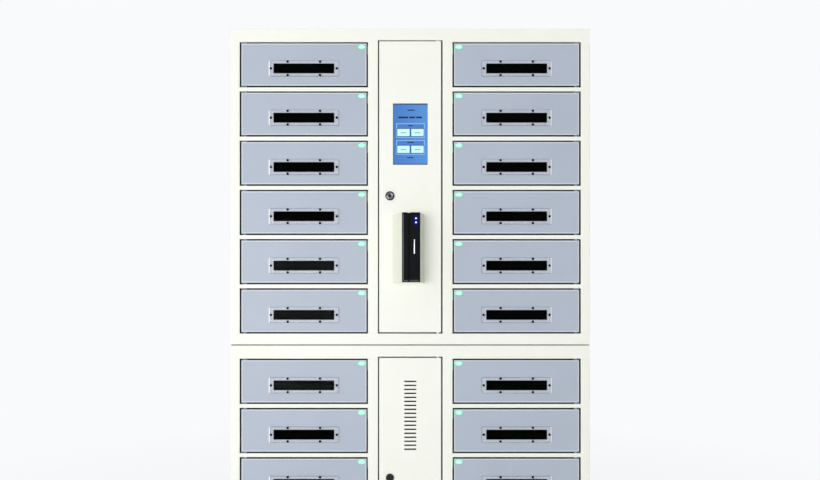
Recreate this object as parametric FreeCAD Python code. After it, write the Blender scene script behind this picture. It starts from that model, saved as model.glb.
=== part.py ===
import FreeCAD
import Part

import math
import os
from typing import NamedTuple

from FreeCAD import Vector

# Charging locker: two stacked sheet-steel cabinets with a column of small doors on each side
# of a control column. Millimetres, +Z up, the front faces -Y, and the origin is on the floor
# at the centre of the cabinets' footprint.

# Folded sheet
SHEET = 1.0
FOLD_FLAT = 0.8
JAMB_DEPTH = 20.0
LIP_RETURN = 22.0
REAR_LIP = 15.0

# Front of the cabinets
CABINET_WIDTH = 900.0
STILE = 22.5
MULLION = 25.0
COLUMN_WIDTH = 162.0
BAY_HEIGHT = 113.5
SHELF_LIP = 10.0
TOP_RAIL = 33.0
BOTTOM_RAIL = 30.0
COLUMN_RISE = 5.0
SEAM = 2.5
UPPER_ROWS = 6
LOWER_ROWS = 4
CABINET_DEPTH = 450.0
BACK_INSET = 1.5
WALL_HOLE = 9.0
WALL_HOLE_INSET = 70.0
WALL_HOLE_DROP = 80.0
CABLE_HOLE = 24.0
CABLE_HOLE_RISE = 45.0

# Plinth
PLINTH_HEIGHT = 60.0
PLINTH_SHEET = 2.0
PLINTH_RECESS = 40.0
PLINTH_FLANGE = 40.0
ANCHOR_HOLE = 11.0
ANCHOR_INSET = 60.0

# Doors and their pivots
DOOR_DEPTH = 18.0
EDGE_GAP = 3.0
HINGE_GAP = 3.5
PIVOT_INSET = 8.0
PIVOT_SETBACK = 6.0
PIN_DIAMETER = 6.0
PIN_SIDES = 8
PIN_CLEARANCE = 0.1
PIN_TIP = 2.0

# Window in a bay door
WINDOW_WIDTH = 152.0
WINDOW_HEIGHT = 24.5
WINDOW_DROP = 10.0
PLATE_MARGIN_X = 12.0
PLATE_MARGIN_Z = 7.75
PLATE_THICKNESS = 2.0
PLATE_CORNER = 4.0

# Lamp, lock and striker tongue of a bay
LAMP_WIDTH = 17.0
LAMP_HEIGHT = 10.0
LAMP_CORNER = 3.5
LAMP_CLEARANCE = 0.5
LAMP_INSET = 13.0
LAMP_DROP = 9.0
LAMP_BASE = 3.0
LAMP_BASE_HEIGHT = 24.0
LAMP_BASE_MARGIN = 2.0
LOCK_GAP = 2.0
LOCK_THICKNESS = 20.0
LOCK_DEPTH = 56.0
LOCK_HEIGHT = 72.0
LOCK_DROP = 4.0
LOCK_CORNER = 4.0
TONGUE_THICKNESS = 2.0
TONGUE_INSET = 10.0
TONGUE_HEIGHT = 14.0
TONGUE_DROP = 56.0
TONGUE_REACH = 22.0
TONGUE_FOOT = 12.0
TONGUE_EYE = 6.0
TONGUE_TIP = 4.0
MOUTH_SWING = 3.5
MOUTH_PLAY = 1.5

# Charging outlet of a bay
OUTLET_WIDTH = 64.0
OUTLET_HEIGHT = 46.0
OUTLET_PLATE = 4.0
OUTLET_BLOCK_WIDTH = 46.0
OUTLET_BLOCK_HEIGHT = 26.0
OUTLET_BLOCK_DEPTH = 10.0
OUTLET_INSET = 62.0

# Touchscreen
SCREEN_WIDTH = 87.0
SCREEN_HEIGHT = 154.0
SCREEN_DROP = 233.0
SCREEN_OVERLAP = 9.0
SCREEN_PLATE = 4.0
SCREEN_BOX_INSET = 6.0
SCREEN_BOX_DEPTH = 16.0

# Card reader and its hood
READER_WIDTH = 44.0
READER_HEIGHT = 169.0
READER_DROP = 521.0
READER_SHIFT = 2.0
READER_PROUD = 16.0
READER_FLOOR = 4.0
READER_CORNER = 3.0
READER_SLOT = 2.0
READER_SLOT_OFFSET = 5.0
READER_FLARE = 3.0
READER_FLARE_LENGTH = 9.0
READER_GUIDE_STEP = 1.5
READER_PLUG_DEPTH = 18.0
READER_PLUG_INSET = 4.0
HOOD_DEPTH = 44.0
HOOD_MARGIN = 1.0
HOOD_FLANK_LEFT = 24.0
HOOD_FLANK_RIGHT = 10.5
HOOD_CLEARANCE = 0.3
HOOD_LEAD_SLOT = 20.0

# Cam lock of the control door
CAM_LOCK_DROP = 388.0
CAM_LOCK_INSET = 27.0
BEZEL_DIAMETER = 22.6
BEZEL_PROUD = 3.0
BARREL_DIAMETER = 18.0
BARREL_CLEARANCE = 0.2
NUT_DIAMETER = 25.0
PLUG_DIAMETER = 12.0
PLUG_CLEARANCE = 0.05
PLUG_PROUD = 0.6
KEYWAY_WIDTH = 2.0
KEYWAY_HEIGHT = 7.0
KEYWAY_DEPTH = 4.0
CAM_LENGTH = 36.0
CAM_WIDTH = 14.0
CAM_THICKNESS = 3.0
CAM_CORNER = 4.0
CAM_CLEARANCE = 2.0
CAM_PLAY = 0.3

# Vent door and its quarter-turn latch
VENT_COUNT = 18
VENT_WIDTH = 30.0
VENT_HEIGHT = 3.6
VENT_PITCH = 10.0
VENT_DROP = 59.0
LATCH_DROP = 300.0
LATCH_HEAD = 20.0
LATCH_PROUD = 3.0
LATCH_PLAY = 0.2
LATCH_SHAFT = 8.0
LATCH_SLOT_WIDTH = 2.0
LATCH_SLOT_DEPTH = 1.2

# Electronics in the control column
BOARD_WIDTH = 116.0
BOARD_DEPTH = 30.0
BOARD_HEIGHT = 190.0
BOARD_RISE = 430.0
SUPPLY_WIDTH = 112.0
SUPPLY_DEPTH = 52.0
SUPPLY_HEIGHT = 215.0
SUPPLY_RISE = 110.0
BOX_EAR = 12.0
BOX_EAR_SHEET = 2.0
FIN_COUNT = 9
FIN_PITCH = 10.0
FIN_GROOVE = 4.0
FIN_DEPTH = 3.0
FIN_MARGIN = 20.0

# Planes and edges that follow from the sizes above
FRONT = -CABINET_DEPTH / 2
BACK = CABINET_DEPTH / 2
SKIN_BACK = BACK - SHEET
PANEL_END = SKIN_BACK - SHEET
HALF_WIDTH = CABINET_WIDTH / 2
COLUMN_EDGE = COLUMN_WIDTH / 2
LOCK_EDGE = COLUMN_EDGE + MULLION
HINGE_EDGE = HALF_WIDTH - STILE
BAY_WIDTH = HINGE_EDGE - LOCK_EDGE
ROW_PITCH = BAY_HEIGHT + SHELF_LIP
DOOR_WIDTH = BAY_WIDTH - EDGE_GAP - HINGE_GAP
DOOR_HEIGHT = BAY_HEIGHT - 2 * EDGE_GAP
DOOR_BACK = FRONT + DOOR_DEPTH
PIVOT_Y = FRONT + PIVOT_SETBACK
BAY_PIVOT_X = HINGE_EDGE - HINGE_GAP - PIVOT_INSET
COLUMN_PIVOT_X = COLUMN_EDGE - HINGE_GAP - PIVOT_INSET
LOCK_FRONT = DOOR_BACK + LOCK_GAP + LAMP_BASE
TONGUE_X = LOCK_EDGE + EDGE_GAP + TONGUE_INSET
LAMP_X = LOCK_EDGE + EDGE_GAP + LAMP_INSET
COLUMN_DOOR_EDGE = EDGE_GAP - COLUMN_EDGE
CAM_LOCK_X = COLUMN_DOOR_EDGE + CAM_LOCK_INSET
CAM_Y = FRONT + JAMB_DEPTH + CAM_CLEARANCE
CARD_X = READER_SHIFT - READER_SLOT_OFFSET
WALL_SPACING_X = CABINET_WIDTH - 2 * WALL_HOLE_INSET
ANCHOR_SPACING_X = CABINET_WIDTH - 2 * ANCHOR_INSET
TOUCHING = 1e-6


class Cabinet(NamedTuple):
    """One cabinet of the stack: the height of its underside and its rows of bays."""

    base: float
    rows: int

    @property
    def floor(self):
        """Height of the floor panel's upper face."""
        return self.base + BOTTOM_RAIL

    @property
    def lintel(self):
        """Height of the top edge of the highest bay opening."""
        return self.floor + self.rows * ROW_PITCH - SHELF_LIP

    @property
    def column_lintel(self):
        """Height of the top edge of the centre opening."""
        return self.lintel + COLUMN_RISE

    @property
    def top(self):
        """Height of the top panel's upper face."""
        return self.lintel + TOP_RAIL

    @property
    def sills(self):
        """Heights of the bay openings' lower edges, from the highest row down."""
        return [self.floor + row * ROW_PITCH for row in reversed(range(self.rows))]


LOWER = Cabinet(PLINTH_HEIGHT, LOWER_ROWS)
UPPER = Cabinet(LOWER.top, UPPER_ROWS)
CABINETS = (UPPER, LOWER)
CONTROL_DOOR_TOP = UPPER.column_lintel - EDGE_GAP
VENT_DOOR_TOP = LOWER.column_lintel - EDGE_GAP


# Shared shapes

def box(x0, x1, y0, y1, z0, z1):
    """Block between two corners."""
    return Part.makeBox(x1 - x0, y1 - y0, z1 - z0, Vector(x0, y0, z0))


def cylinder_z(diameter, x, y, z0, z1):
    """Upright round bar."""
    return Part.makeCylinder(diameter / 2, z1 - z0, Vector(x, y, z0))


def cylinder_y(diameter, x, z, y0, y1):
    """Round bar along the depth."""
    return Part.makeCylinder(diameter / 2, y1 - y0, Vector(x, y0, z), Vector(0, 1, 0))


def faceted_bar(across_corners, x, y, z0, z1):
    """Upright bar with a pivot pin's sides, measured across its corners."""
    turns = [2 * math.pi * side / PIN_SIDES for side in range(PIN_SIDES + 1)]
    radius = across_corners / 2
    outline = [Vector(x + radius * math.cos(t), y + radius * math.sin(t), z0) for t in turns]
    return Part.Face(Part.makePolygon(outline)).extrude(Vector(0, 0, z1 - z0))


def mirrored(shape):
    """Copy of a piece on the other side of the centre plane."""
    return shape.mirror(Vector(0, 0, 0), Vector(1, 0, 0))


def joined(*shapes):
    """One solid made of pieces that are welded or moulded together."""
    return shapes[0].fuse(list(shapes[1:])).removeSplitter().Solids[0]


def drilled(shape, cutters):
    """Solid that is left when holes and slots are cut out of a piece."""
    return shape.cut(list(cutters)).Solids[0]


def edges_on_plane(shape, y):
    """Edges of a piece that lie wholly in one plane across the depth."""
    return [e for e in shape.Edges if all(abs(v.Y - y) < TOUCHING for v in e.Vertexes)]


def edges_along(shape, direction):
    """Straight edges of a piece that run in one direction."""
    found = []
    for edge in shape.Edges:
        run = edge.Vertexes[-1].Point - edge.Vertexes[0].Point
        if run.Length > TOUCHING and run.cross(direction).Length < TOUCHING:
            found.append(edge)
    return found


def chamfered_block(x0, x1, y0, y1, z0, z1, corner):
    """Block whose four edges along the depth are cut off at 45 degrees."""
    block = box(x0, x1, y0, y1, z0, z1)
    return block.makeChamfer(corner, edges_along(block, Vector(0, 1, 0))).Solids[0]


def direction_of(start, end):
    """Unit vector from one point of a section to the next."""
    return (end - start).normalize()


def offset_path(path, distance):
    """Section line moved to its left, with mitred corners."""
    moved = []
    for index, point in enumerate(path):
        before = direction_of(*path[index - 1:index + 1]) if index else direction_of(*path[:2])
        after = direction_of(*path[index:index + 2]) if index + 1 < len(path) else before
        aside = Vector(-before.y - after.y, before.x + after.x, 0)
        moved.append(point + aside * (2 * distance / aside.dot(aside)))
    return moved


def eased_path(path, flat):
    """Section line with a small flat in place of each corner."""
    eased = [path[0]]
    for before, corner, after in zip(path, path[1:], path[2:]):
        eased.append(corner - direction_of(before, corner) * flat)
        eased.append(corner + direction_of(corner, after) * flat)
    return eased + [path[-1]]


def folded_section(points, sheet=SHEET):
    """Face across a folded sheet: points are its outer skin, the metal lies on their left."""
    skin = [Vector(u, v, 0) for u, v in points]
    outline = eased_path(skin, FOLD_FLAT) + offset_path(skin, sheet)[::-1]
    return Part.Face(Part.makePolygon(outline + outline[:1]))


def upright_sheet(points, z0, z1):
    """Folded sheet with its section in plan, standing between two heights."""
    return folded_section(points).extrude(Vector(0, 0, z1 - z0)).translate(Vector(0, 0, z0))


def lying_sheet(points, x0, x1, sheet=SHEET):
    """Folded sheet with its section across the depth, running from x0 to x1."""
    section = folded_section(points, sheet)
    section.rotate(Vector(0, 0, 0), Vector(1, 1, 1), 120)
    return section.extrude(Vector(x1 - x0, 0, 0)).translate(Vector(x0, 0, 0))


# Cabinets

def jamb_panel(opening_edge, sheet_edge, z0, z1):
    """Upright panel whose front return faces the room and ends in a jamb at an opening."""
    return upright_sheet([
        (opening_edge, FRONT + JAMB_DEPTH),
        (opening_edge, FRONT),
        (sheet_edge, FRONT),
        (sheet_edge, SKIN_BACK),
        (sheet_edge - REAR_LIP, SKIN_BACK),
    ], z0, z1)


def side_sheet(cabinet):
    """Flat part of the right side panel, which runs the cabinet's full height."""
    return box(HALF_WIDTH - SHEET, HALF_WIDTH, FRONT + SHEET, PANEL_END, cabinet.base,
               cabinet.top - SHEET)


def side_panel(cabinet):
    """Right side panel with its stile."""
    stile = jamb_panel(HINGE_EDGE, HALF_WIDTH, cabinet.floor, cabinet.lintel)
    return joined(stile, side_sheet(cabinet))


def partition(cabinet):
    """Right wall of the centre column, with the mullion as its front return."""
    mullion = jamb_panel(COLUMN_EDGE, LOCK_EDGE, cabinet.floor, cabinet.lintel)
    upper_edge = box(LOCK_EDGE - SHEET, LOCK_EDGE, FRONT + LIP_RETURN, PANEL_END, cabinet.lintel,
                     cabinet.top - SHEET)
    return joined(mullion, upper_edge)


def pin_hole(x, z0, z1):
    """Cutter for the hole that a door's pivot pin turns in, its flats clear of the corners."""
    across_flats = PIN_DIAMETER + 2 * PIN_CLEARANCE
    return faceted_bar(across_flats / math.cos(math.pi / PIN_SIDES), x, PIVOT_Y, z0, z1)


def pivot_xs():
    """Places of the three door pivots across a cabinet."""
    return (-BAY_PIVOT_X, COLUMN_PIVOT_X, BAY_PIVOT_X)


def top_panel(cabinet):
    """Top panel, whose front lip is the top rail: shallower over the centre column."""

    def stretch(x0, x1, lip_end):
        return lying_sheet([
            (SKIN_BACK, cabinet.top - REAR_LIP),
            (SKIN_BACK, cabinet.top),
            (FRONT, cabinet.top),
            (FRONT, lip_end),
            (FRONT + LIP_RETURN, lip_end),
        ], x0, x1)

    panel = joined(
        stretch(-HALF_WIDTH, -COLUMN_EDGE, cabinet.lintel),
        stretch(-COLUMN_EDGE, COLUMN_EDGE, cabinet.column_lintel),
        stretch(COLUMN_EDGE, HALF_WIDTH, cabinet.lintel),
    )
    sides = [side_sheet(cabinet), mirrored(side_sheet(cabinet))]
    holes = [pin_hole(x, cabinet.lintel, cabinet.top - SHEET) for x in pivot_xs()]
    return drilled(panel, sides + holes)


def floor_panel(cabinet):
    """Floor panel, whose front lip is the bottom rail and stops short of the seam."""
    panel = lying_sheet([
        (SKIN_BACK, cabinet.base),
        (SKIN_BACK, cabinet.floor),
        (FRONT, cabinet.floor),
        (FRONT, cabinet.base + SEAM),
        (FRONT + LIP_RETURN, cabinet.base + SEAM),
    ], -HALF_WIDTH, HALF_WIDTH)
    sides = [side_sheet(cabinet), mirrored(side_sheet(cabinet))]
    holes = [pin_hole(x, cabinet.floor - SHEET, cabinet.floor) for x in pivot_xs()]
    return drilled(panel, sides + holes)


def back_panel(cabinet, holes):
    """Flat back panel, fixed to the rear lips from behind."""
    half_width = HALF_WIDTH - BACK_INSET
    sheet = box(-half_width, half_width, SKIN_BACK, BACK, cabinet.base + BACK_INSET,
                cabinet.top - BACK_INSET)
    return drilled(sheet, holes)


def wall_holes():
    """Cutters for the two holes that tie the upper cabinet to a wall."""
    z = UPPER.top - WALL_HOLE_DROP
    return [cylinder_y(WALL_HOLE, side * WALL_SPACING_X / 2, z, SKIN_BACK, BACK) for side in (-1, 1)]


def cable_holes():
    """Cutter for the round mains entry behind the power supply."""
    return [cylinder_y(CABLE_HOLE, 0, LOWER.floor + CABLE_HOLE_RISE, SKIN_BACK, BACK)]


def shelf(sill):
    """Right-hand shelf under a bay: its lip is the rail between two doors."""
    tray = lying_sheet([
        (PANEL_END, sill),
        (FRONT, sill),
        (FRONT, sill - SHELF_LIP),
        (FRONT + LIP_RETURN, sill - SHELF_LIP),
    ], LOCK_EDGE, HINGE_EDGE)
    wing = box(HINGE_EDGE, HALF_WIDTH - SHEET, FRONT + JAMB_DEPTH, PANEL_END, sill - SHEET, sill)
    return drilled(joined(tray, wing), [pin_hole(BAY_PIVOT_X, sill - SHELF_LIP, sill)])


def shelves():
    """All shelves: one under each bay but the lowest of each cabinet."""
    right = [shelf(sill) for cabinet in CABINETS for sill in cabinet.sills[:-1]]
    return right + [mirrored(piece) for piece in right]


# Plinth

def plinth_rail(half_length, outer):
    """Channel rail along X with mitred ends, its web facing -Y."""
    inner = outer + PLINTH_FLANGE
    rail = lying_sheet([
        (inner, PLINTH_HEIGHT),
        (outer, PLINTH_HEIGHT),
        (outer, 0),
        (inner, 0),
    ], -half_length, half_length, PLINTH_SHEET)
    corners = [
        (-half_length, outer), (half_length, outer),
        (half_length - PLINTH_FLANGE, inner), (PLINTH_FLANGE - half_length, inner),
    ]
    outline = Part.makePolygon([Vector(x, y, 0) for x, y in corners + corners[:1]])
    mitre = Part.Face(outline).extrude(Vector(0, 0, PLINTH_HEIGHT))
    return rail.common(mitre).Solids[0]


def turned_about_z(shape, angle):
    """Copy of a piece turned about the upright axis through the origin."""
    return shape.rotated(Vector(0, 0, 0), Vector(0, 0, 1), angle)


def plinth():
    """Four mitred channel rails with anchor holes in the lower flanges."""
    half_depth = CABINET_DEPTH / 2 - PLINTH_RECESS
    anchor_y = half_depth - PLINTH_FLANGE / 2
    holes = [
        cylinder_z(ANCHOR_HOLE, side * ANCHOR_SPACING_X / 2, -anchor_y, 0, PLINTH_SHEET)
        for side in (-1, 1)
    ]
    long_rail = drilled(plinth_rail(HALF_WIDTH, -half_depth), holes)
    short_rail = plinth_rail(half_depth, -HALF_WIDTH)
    return [
        long_rail,
        turned_about_z(short_rail, 90),
        turned_about_z(long_rail, 180),
        turned_about_z(short_rail, 270),
    ]


# Doors

def door_pan(x0, x1, z0, z1):
    """Pressed door skin with its four flanges turned back."""
    skin = box(x0, x1, FRONT, DOOR_BACK, z0, z1)
    skin = skin.makeChamfer(FOLD_FLAT, edges_on_plane(skin, FRONT))
    hollow = box(x0 + SHEET, x1 - SHEET, FRONT + SHEET, DOOR_BACK, z0 + SHEET, z1 - SHEET)
    return drilled(skin, [hollow])


def pivot_pins(x, z0, z1):
    """Upper and lower pivot pins of a door, which cross its gaps into the rails."""
    reach = EDGE_GAP + SHEET + PIN_TIP
    return [
        faceted_bar(PIN_DIAMETER, x, PIVOT_Y, z1 - SHEET, z1 + reach),
        faceted_bar(PIN_DIAMETER, x, PIVOT_Y, z0 - reach, z0 + SHEET),
    ]


def window_centre(sill):
    """Middle of the window slot of the right-hand bay door over a sill."""
    x = LOCK_EDGE + EDGE_GAP + DOOR_WIDTH / 2
    return x, sill + BAY_HEIGHT / 2 - WINDOW_DROP


def window_span(sill, margin_x, margin_z):
    """Sides of the window slot, widened by a margin: x0, x1 and z0, z1."""
    x, z = window_centre(sill)
    half_width = WINDOW_WIDTH / 2 + margin_x
    half_height = WINDOW_HEIGHT / 2 + margin_z
    return (x - half_width, x + half_width), (z - half_height, z + half_height)


def lamp_bar(z, clearance, y0, y1):
    """Eight-sided bar of the right-hand lamp's nose, or its hole with the clearance added."""
    half_width = LAMP_WIDTH / 2 + clearance
    half_height = LAMP_HEIGHT / 2 + clearance
    return chamfered_block(LAMP_X - half_width, LAMP_X + half_width, y0, y1, z - half_height,
                           z + half_height, LAMP_CORNER)


def striker_tongue(door_top):
    """Angle plate inside the lock side of a bay door, with an eye for the latch."""
    z = door_top - TONGUE_DROP
    z0, z1 = z - TONGUE_HEIGHT / 2, z + TONGUE_HEIGHT / 2
    weld = FRONT + SHEET
    tip = DOOR_BACK + TONGUE_REACH
    foot = box(TONGUE_X, TONGUE_X + TONGUE_FOOT, weld, weld + TONGUE_THICKNESS, z0, z1)
    blade = box(TONGUE_X, TONGUE_X + TONGUE_THICKNESS, weld, tip, z0, z1)
    eye = box(TONGUE_X, TONGUE_X + TONGUE_THICKNESS, tip - TONGUE_EYE - TONGUE_TIP, tip - TONGUE_TIP,
              z - TONGUE_EYE / 2, z + TONGUE_EYE / 2)
    return drilled(joined(foot, blade), [eye])


def bay_door(sill):
    """Right-hand bay door with its pins and striker tongue."""
    x0 = LOCK_EDGE + EDGE_GAP
    z0 = sill + EDGE_GAP
    z1 = z0 + DOOR_HEIGHT
    inside = FRONT + SHEET
    (slot_x0, slot_x1), (slot_z0, slot_z1) = window_span(sill, 0, 0)
    slot = box(slot_x0, slot_x1, FRONT, inside, slot_z0, slot_z1)
    lamp_hole = lamp_bar(z1 - LAMP_DROP, LAMP_CLEARANCE, FRONT, inside)
    pan = drilled(door_pan(x0, x0 + DOOR_WIDTH, z0, z1), [slot, lamp_hole])
    return joined(pan, striker_tongue(z1), *pivot_pins(BAY_PIVOT_X, z0, z1))


def bay_window(sill):
    """Clear plate over the window slot of the right-hand bay door."""
    (x0, x1), (z0, z1) = window_span(sill, PLATE_MARGIN_X, PLATE_MARGIN_Z)
    return chamfered_block(x0, x1, FRONT - PLATE_THICKNESS, FRONT, z0, z1, PLATE_CORNER)


# Lock, lamp and outlet of a bay

def bay_lock(sill):
    """Right-hand electric lock: a closed case with a mouth for the striker tongue."""
    door_top = sill + EDGE_GAP + DOOR_HEIGHT
    z1 = door_top - LOCK_DROP
    case = box(LOCK_EDGE, LOCK_EDGE + LOCK_THICKNESS, LOCK_FRONT, LOCK_FRONT + LOCK_DEPTH,
               z1 - LOCK_HEIGHT, z1)
    rear = LOCK_FRONT + LOCK_DEPTH
    level = edges_along(case, Vector(1, 0, 0))
    corners = [e for e in level if abs(e.Vertexes[0].Y - rear) < TOUCHING]
    case = case.makeChamfer(LOCK_CORNER, corners)
    tongue_end = DOOR_BACK + TONGUE_REACH + MOUTH_PLAY
    half_mouth = TONGUE_HEIGHT / 2 + MOUTH_PLAY
    z = door_top - TONGUE_DROP
    mouth = box(TONGUE_X - MOUTH_SWING, TONGUE_X + TONGUE_THICKNESS + MOUTH_PLAY, LOCK_FRONT,
                tongue_end, z - half_mouth, z + half_mouth)
    return drilled(case, [mouth])


def bay_lamp(sill):
    """Right-hand lamp: a light guide on the lock's front that fills the hole in the door."""
    z = sill + EDGE_GAP + DOOR_HEIGHT - LAMP_DROP
    nose = lamp_bar(z, 0, FRONT, LOCK_FRONT)
    base_top = z + LAMP_HEIGHT / 2 + LAMP_BASE_MARGIN
    base = box(LOCK_EDGE, LAMP_X + LAMP_WIDTH / 2 + LAMP_BASE_MARGIN, LOCK_FRONT - LAMP_BASE,
               LOCK_FRONT, base_top - LAMP_BASE_HEIGHT, base_top)
    return joined(base, nose)


def bay_outlet(sill):
    """Right-hand charging outlet on the back wall of a bay."""
    x = LOCK_EDGE + OUTLET_INSET
    z = sill + BAY_HEIGHT / 2

    def layer(width, height, y0, y1):
        return box(x - width / 2, x + width / 2, y0, y1, z - height / 2, z + height / 2)

    face = SKIN_BACK - OUTLET_PLATE
    plate = layer(OUTLET_WIDTH, OUTLET_HEIGHT, face, SKIN_BACK)
    block = layer(OUTLET_BLOCK_WIDTH, OUTLET_BLOCK_HEIGHT, face - OUTLET_BLOCK_DEPTH, face)
    return joined(plate, block)


def in_every_bay(make):
    """Copies of a bay's fitting in every bay, right and left."""
    right = [make(sill) for cabinet in CABINETS for sill in cabinet.sills]
    return right + [mirrored(piece) for piece in right]


# Control column

def column_door(cabinet, cutters):
    """Door of the centre opening, hinged on the right."""
    x0 = COLUMN_DOOR_EDGE
    x1 = COLUMN_EDGE - HINGE_GAP
    z0 = cabinet.floor + EDGE_GAP
    z1 = cabinet.column_lintel - EDGE_GAP
    pan = drilled(door_pan(x0, x1, z0, z1), cutters)
    return joined(pan, *pivot_pins(COLUMN_PIVOT_X, z0, z1))


def control_door():
    """Upper door with the openings for the screen, the lock and the reader's lead."""
    inside = FRONT + SHEET
    screen_z = CONTROL_DOOR_TOP - SCREEN_DROP
    screen = box(-SCREEN_WIDTH / 2, SCREEN_WIDTH / 2, FRONT, inside, screen_z - SCREEN_HEIGHT / 2,
                 screen_z + SCREEN_HEIGHT / 2)
    lock = cylinder_y(BARREL_DIAMETER + 2 * BARREL_CLEARANCE, CAM_LOCK_X,
                      CONTROL_DOOR_TOP - CAM_LOCK_DROP, FRONT, inside)
    lead_z = CONTROL_DOOR_TOP - READER_DROP
    lead = box(-HOOD_LEAD_SLOT / 2, HOOD_LEAD_SLOT / 2, FRONT, inside, lead_z - HOOD_LEAD_SLOT / 2,
               lead_z + HOOD_LEAD_SLOT / 2)
    return column_door(UPPER, [screen, lock, lead])


def touchscreen():
    """Display module behind the door: a glass-fronted plate with its case behind."""
    z = CONTROL_DOOR_TOP - SCREEN_DROP
    seat = FRONT + SHEET
    half_width = SCREEN_WIDTH / 2 + SCREEN_OVERLAP
    half_height = SCREEN_HEIGHT / 2 + SCREEN_OVERLAP

    def layer(inset, y0, y1):
        return box(inset - half_width, half_width - inset, y0, y1, z + inset - half_height,
                   z + half_height - inset)

    rear = seat + SCREEN_PLATE
    return joined(layer(0, seat, rear), layer(SCREEN_BOX_INSET, rear, rear + SCREEN_BOX_DEPTH))


def hood_section(flank_left, flank_right, wall, y_front):
    """Plan of the reader's hood: a block with flanks that splay out to the door."""
    half_front = READER_WIDTH / 2 + HOOD_MARGIN - wall
    x0, x1 = READER_SHIFT - half_front, READER_SHIFT + half_front
    corners = [(x0 - flank_left, FRONT), (x0, y_front), (x1, y_front), (x1 + flank_right, FRONT)]
    return Part.Face(Part.makePolygon([Vector(x, y, 0) for x, y in corners + corners[:1]]))


def reader_hood():
    """Hood that carries the card reader clear of the door, open at the back."""
    z = CONTROL_DOOR_TOP - READER_DROP
    half_height = READER_HEIGHT / 2 + HOOD_MARGIN
    face = FRONT - HOOD_DEPTH

    def block(wall):
        section = hood_section(HOOD_FLANK_LEFT, HOOD_FLANK_RIGHT, wall, face + wall)
        height = 2 * (half_height - wall)
        return section.extrude(Vector(0, 0, height)).translate(Vector(0, 0, z - height / 2))

    half_width = READER_WIDTH / 2 - READER_PLUG_INSET + HOOD_CLEARANCE
    half_plug = READER_HEIGHT / 2 - READER_PLUG_INSET + HOOD_CLEARANCE
    seat = box(READER_SHIFT - half_width, READER_SHIFT + half_width, face, face + SHEET, z - half_plug,
               z + half_plug)
    return drilled(block(0), [block(SHEET), seat])


def rounded_rail(rail, face, slot_x):
    """Rail of the reader with its front edges rounded, apart from the one along the card slot."""
    edges = edges_on_plane(rail, face)
    outer = [e for e in edges if any(abs(v.X - slot_x) > TOUCHING for v in e.Vertexes)]
    return rail.makeFillet(READER_CORNER, outer)


def card_reader():
    """Swipe reader: a body with the reading head, and the guide wall across its slot."""
    z = CONTROL_DOOR_TOP - READER_DROP
    z0, z1 = z - READER_HEIGHT / 2, z + READER_HEIGHT / 2
    x0, x1 = READER_SHIFT - READER_WIDTH / 2, READER_SHIFT + READER_WIDTH / 2
    seat = FRONT - HOOD_DEPTH
    floor = seat - READER_FLOOR
    face = seat - READER_PROUD
    guide_x = CARD_X - READER_SLOT / 2
    head_x = CARD_X + READER_SLOT / 2
    plug = box(x0 + READER_PLUG_INSET, x1 - READER_PLUG_INSET, seat, seat + READER_PLUG_DEPTH,
               z0 + READER_PLUG_INSET, z1 - READER_PLUG_INSET)
    head = rounded_rail(box(head_x, x1, face, floor, z0, z1), face, head_x)
    body = joined(box(x0, x1, floor, seat, z0, z1), plug, head)
    guide_face = face + READER_GUIDE_STEP
    guide = rounded_rail(box(x0, guide_x, guide_face, floor, z0, z1), guide_face, guide_x)
    flares = [card_flare(end, inward, face, floor) for end, inward in ((z0, 1), (z1, -1))]
    return [drilled(body, flares), drilled(guide, flares)]


def card_flare(end, inward, y0, y1):
    """Cutter for the widening mouth at one end of the card slot."""
    half_slot = READER_SLOT / 2
    wide = half_slot + READER_FLARE
    tip = end + inward * READER_FLARE_LENGTH
    corners = [(-wide, end), (wide, end), (half_slot, tip), (-half_slot, tip)]
    outline = [Vector(CARD_X + x, y0, z) for x, z in corners + corners[:1]]
    return Part.Face(Part.makePolygon(outline)).extrude(Vector(0, y1 - y0, 0))


def lock_barrel():
    """Fixed barrel of the cam lock with its bezel and the long nut that clamps it."""
    x, z = CAM_LOCK_X, CONTROL_DOOR_TOP - CAM_LOCK_DROP
    inside = FRONT + SHEET
    rear = CAM_Y - CAM_PLAY
    bezel = cylinder_y(BEZEL_DIAMETER, x, z, FRONT - BEZEL_PROUD, FRONT)
    barrel = cylinder_y(BARREL_DIAMETER, x, z, FRONT, inside)
    corners = [Vector(x + NUT_DIAMETER / 2 * math.cos(math.radians(60 * k)), inside,
                      z + NUT_DIAMETER / 2 * math.sin(math.radians(60 * k))) for k in range(7)]
    nut = Part.Face(Part.makePolygon(corners)).extrude(Vector(0, rear - inside, 0))
    bore = cylinder_y(PLUG_DIAMETER + 2 * PLUG_CLEARANCE, x, z, FRONT - BEZEL_PROUD, CAM_Y)
    return drilled(joined(bezel, barrel, nut), [bore])


def turning_cam(x, z):
    """Flat cam that hangs from a lock's axis, with its corners cut off."""
    half_width = CAM_WIDTH / 2
    return chamfered_block(x - half_width, x + half_width, CAM_Y, CAM_Y + CAM_THICKNESS,
                           z - CAM_LENGTH, z + half_width, CAM_CORNER)


def lock_plug():
    """Turning plug of the cam lock with its keyway and cam."""
    x, z = CAM_LOCK_X, CONTROL_DOOR_TOP - CAM_LOCK_DROP
    face = FRONT - BEZEL_PROUD - PLUG_PROUD
    plug = cylinder_y(PLUG_DIAMETER, x, z, face, CAM_Y)
    keyway = box(x - KEYWAY_WIDTH / 2, x + KEYWAY_WIDTH / 2, face, face + KEYWAY_DEPTH,
                 z - KEYWAY_HEIGHT / 2, z + KEYWAY_HEIGHT / 2)
    return joined(drilled(plug, [keyway]), turning_cam(x, z))


def vent_slot(z):
    """Cutter for one vent slot."""
    return box(-VENT_WIDTH / 2, VENT_WIDTH / 2, FRONT, FRONT + SHEET, z - VENT_HEIGHT / 2,
               z + VENT_HEIGHT / 2)


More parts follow.
